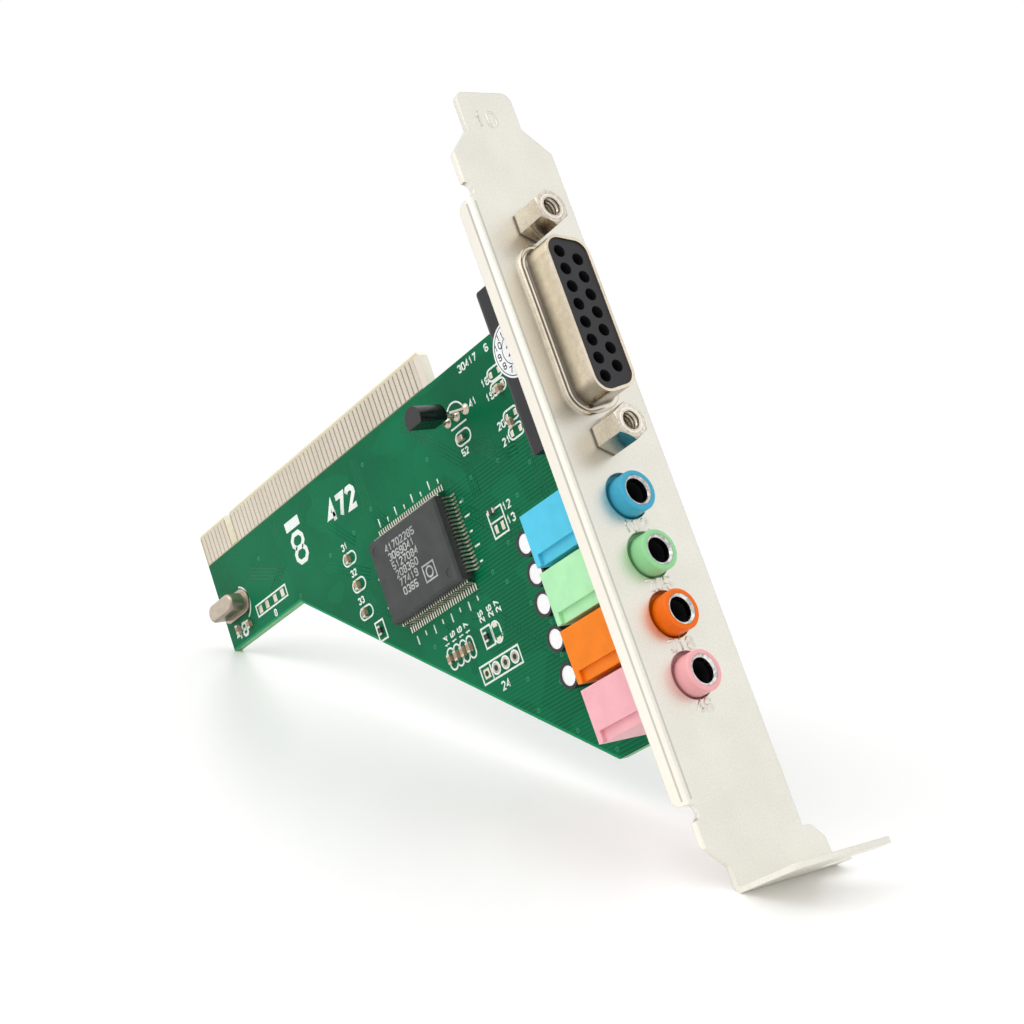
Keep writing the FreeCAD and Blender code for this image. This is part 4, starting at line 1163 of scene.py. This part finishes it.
class CARD_OT_stage(bpy.types.Operator):
    """Makes the floor, the surroundings, the lights and the camera"""

    bl_idname = "card.stage"
    bl_label = "Stage"

    def execute(self, context):
        scene = context.scene
        settings = scene.card_stage
        self.floor(scene, settings)
        self.world(scene, settings)
        self.lamp(scene, *KEY_LAMP, settings.key_power)
        self.lamp(scene, *FILL_LAMP, settings.fill_power)
        data = bpy.data.cameras.new("photo_camera")
        data.lens = scene.card_camera.lens
        data.sensor_width = SENSOR_WIDTH
        data.clip_start, data.clip_end = CLIPPING
        camera = bpy.data.objects.new("photo_camera", data)
        camera.location = scene.card_camera.location
        camera.rotation_euler = Euler(scene.card_camera.turn, "XYZ")
        scene.collection.objects.link(camera)
        scene.camera = camera
        scene.view_settings.view_transform = "Standard"
        return {"FINISHED"}

    def floor(self, scene, settings):
        """A flat grid: x and y run evenly over the floor and z is 0."""
        side = np.linspace(-settings.half_width, settings.half_width, FLOOR_LINES)
        x, y = np.meshgrid(side, side, indexing="ij")
        points = np.stack((x, y, 0 * x), axis=-1).reshape(-1, 3)
        index = np.arange(FLOOR_LINES**2).reshape(FLOOR_LINES, FLOOR_LINES)
        mesh = bpy.data.meshes.new("floor")
        mesh.from_pydata(points, [], cells(index).tolist())
        material, s = fresh("floor_white")
        position = s.node("ShaderNodeTexCoord", output="Object")
        maths = "ShaderNodeVectorMath"
        squeezed = s.node(maths, {"operation": "MULTIPLY"}, {0: position, 1: FLOOR_SQUEEZE})
        distance = s.node(maths, {"operation": "LENGTH"}, {0: squeezed}, output="Value")
        matt = {"Base Color": FLOOR_WHITE, "Roughness": 0.3, "Specular IOR Level": 0.4}
        matt["Emission Color"] = s.mix(s.seen(), (0.0, 0.0, 0.0), WHITE)
        matt["Emission Strength"] = FLOOR_LIFT
        ground = s.node("ShaderNodeBsdfPrincipled", None, matt)
        white = s.node("ShaderNodeEmission", None, {"Color": WHITE, "Strength": 1.0})
        share = distance.steps(*FLOOR_FADE) * s.seen()
        s.finish(s.node("ShaderNodeMixShader", None, {0: share, 1: ground, 2: white}))
        mesh.materials.append(material)
        floor = bpy.data.objects.new("floor", mesh)
        scene.collection.objects.link(floor)

    def world(self, scene, settings):
        """White where it is seen or mirrored, and softly graded surroundings for soft light."""
        world = bpy.data.worlds.new("surroundings")
        scene.world = world
        s = Shading(world)
        incoming = s.node("ShaderNodeNewGeometry", output="Incoming")
        height = s.split(incoming)[2] * -1.0
        grade = s.mix(height.steps(-0.1, 0.5), HORIZON, WHITE)
        light = s.node("ShaderNodeBackground", None, {"Color": grade, "Strength": settings.sky})
        white = s.node("ShaderNodeBackground", None, {"Color": WHITE, "Strength": 1.0})
        shown = s.node("ShaderNodeMixShader", None, {0: s.seen(), 1: light, 2: white})
        s.finish(shown, "ShaderNodeOutputWorld")

    def lamp(self, scene, name, location, size, power):
        """A square area light that points at the middle of the card."""
        data = bpy.data.lights.new(name, "AREA")
        data.size = size
        data.energy = power
        lamp = bpy.data.objects.new(name, data)
        lamp.location = location
        aim = LAMP_AIM - Vector(location)
        lamp.rotation_euler = aim.to_track_quat("-Z", "Y").to_euler()
        scene.collection.objects.link(lamp)


class CARD_PT_look(bpy.types.Panel):
    """Lists the settings and the steps that build the look"""

    bl_label = "Card"
    bl_idname = "CARD_PT_look"
    bl_space_type = "VIEW_3D"
    bl_region_type = "UI"
    bl_category = "Card"

    def draw(self, context):
        layout = self.layout
        for name in GROUPS:
            group = getattr(context.scene, name)
            for key in group.bl_rna.properties.keys():
                if key not in {"rna_type", "name"}:
                    layout.prop(group, key)
        for step in STEPS:
            layout.operator(step.bl_idname)


STEPS = (
    CARD_OT_finishes,
    CARD_OT_jacks,
    CARD_OT_port,
    CARD_OT_board_marks,
    CARD_OT_chip_marks,
    CARD_OT_stamps,
    CARD_OT_stage,
)
GROUPS = {
    "card_finishes": FinishSettings,
    "card_jacks": JackSettings,
    "card_port": PortSettings,
    "card_marks": MarkSettings,
    "card_camera": CameraSettings,
    "card_stage": StageSettings,
}
CLASSES = (*GROUPS.values(), *STEPS, CARD_PT_look)


def register():
    for cls in CLASSES:
        bpy.utils.register_class(cls)
    for name, group in GROUPS.items():
        setattr(bpy.types.Scene, name, bpy.props.PointerProperty(type=group))


def unregister():
    for name in GROUPS:
        delattr(bpy.types.Scene, name)
    for cls in reversed(CLASSES):
        bpy.utils.unregister_class(cls)


def main():
    register()
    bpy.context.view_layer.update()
    bpy.ops.card.finishes()
    bpy.ops.card.jacks()
    bpy.ops.card.port()
    bpy.ops.card.board_marks()
    bpy.ops.card.chip_marks()
    bpy.ops.card.stamps()
    bpy.ops.card.stage()


if __name__ == "__main__":
    main()
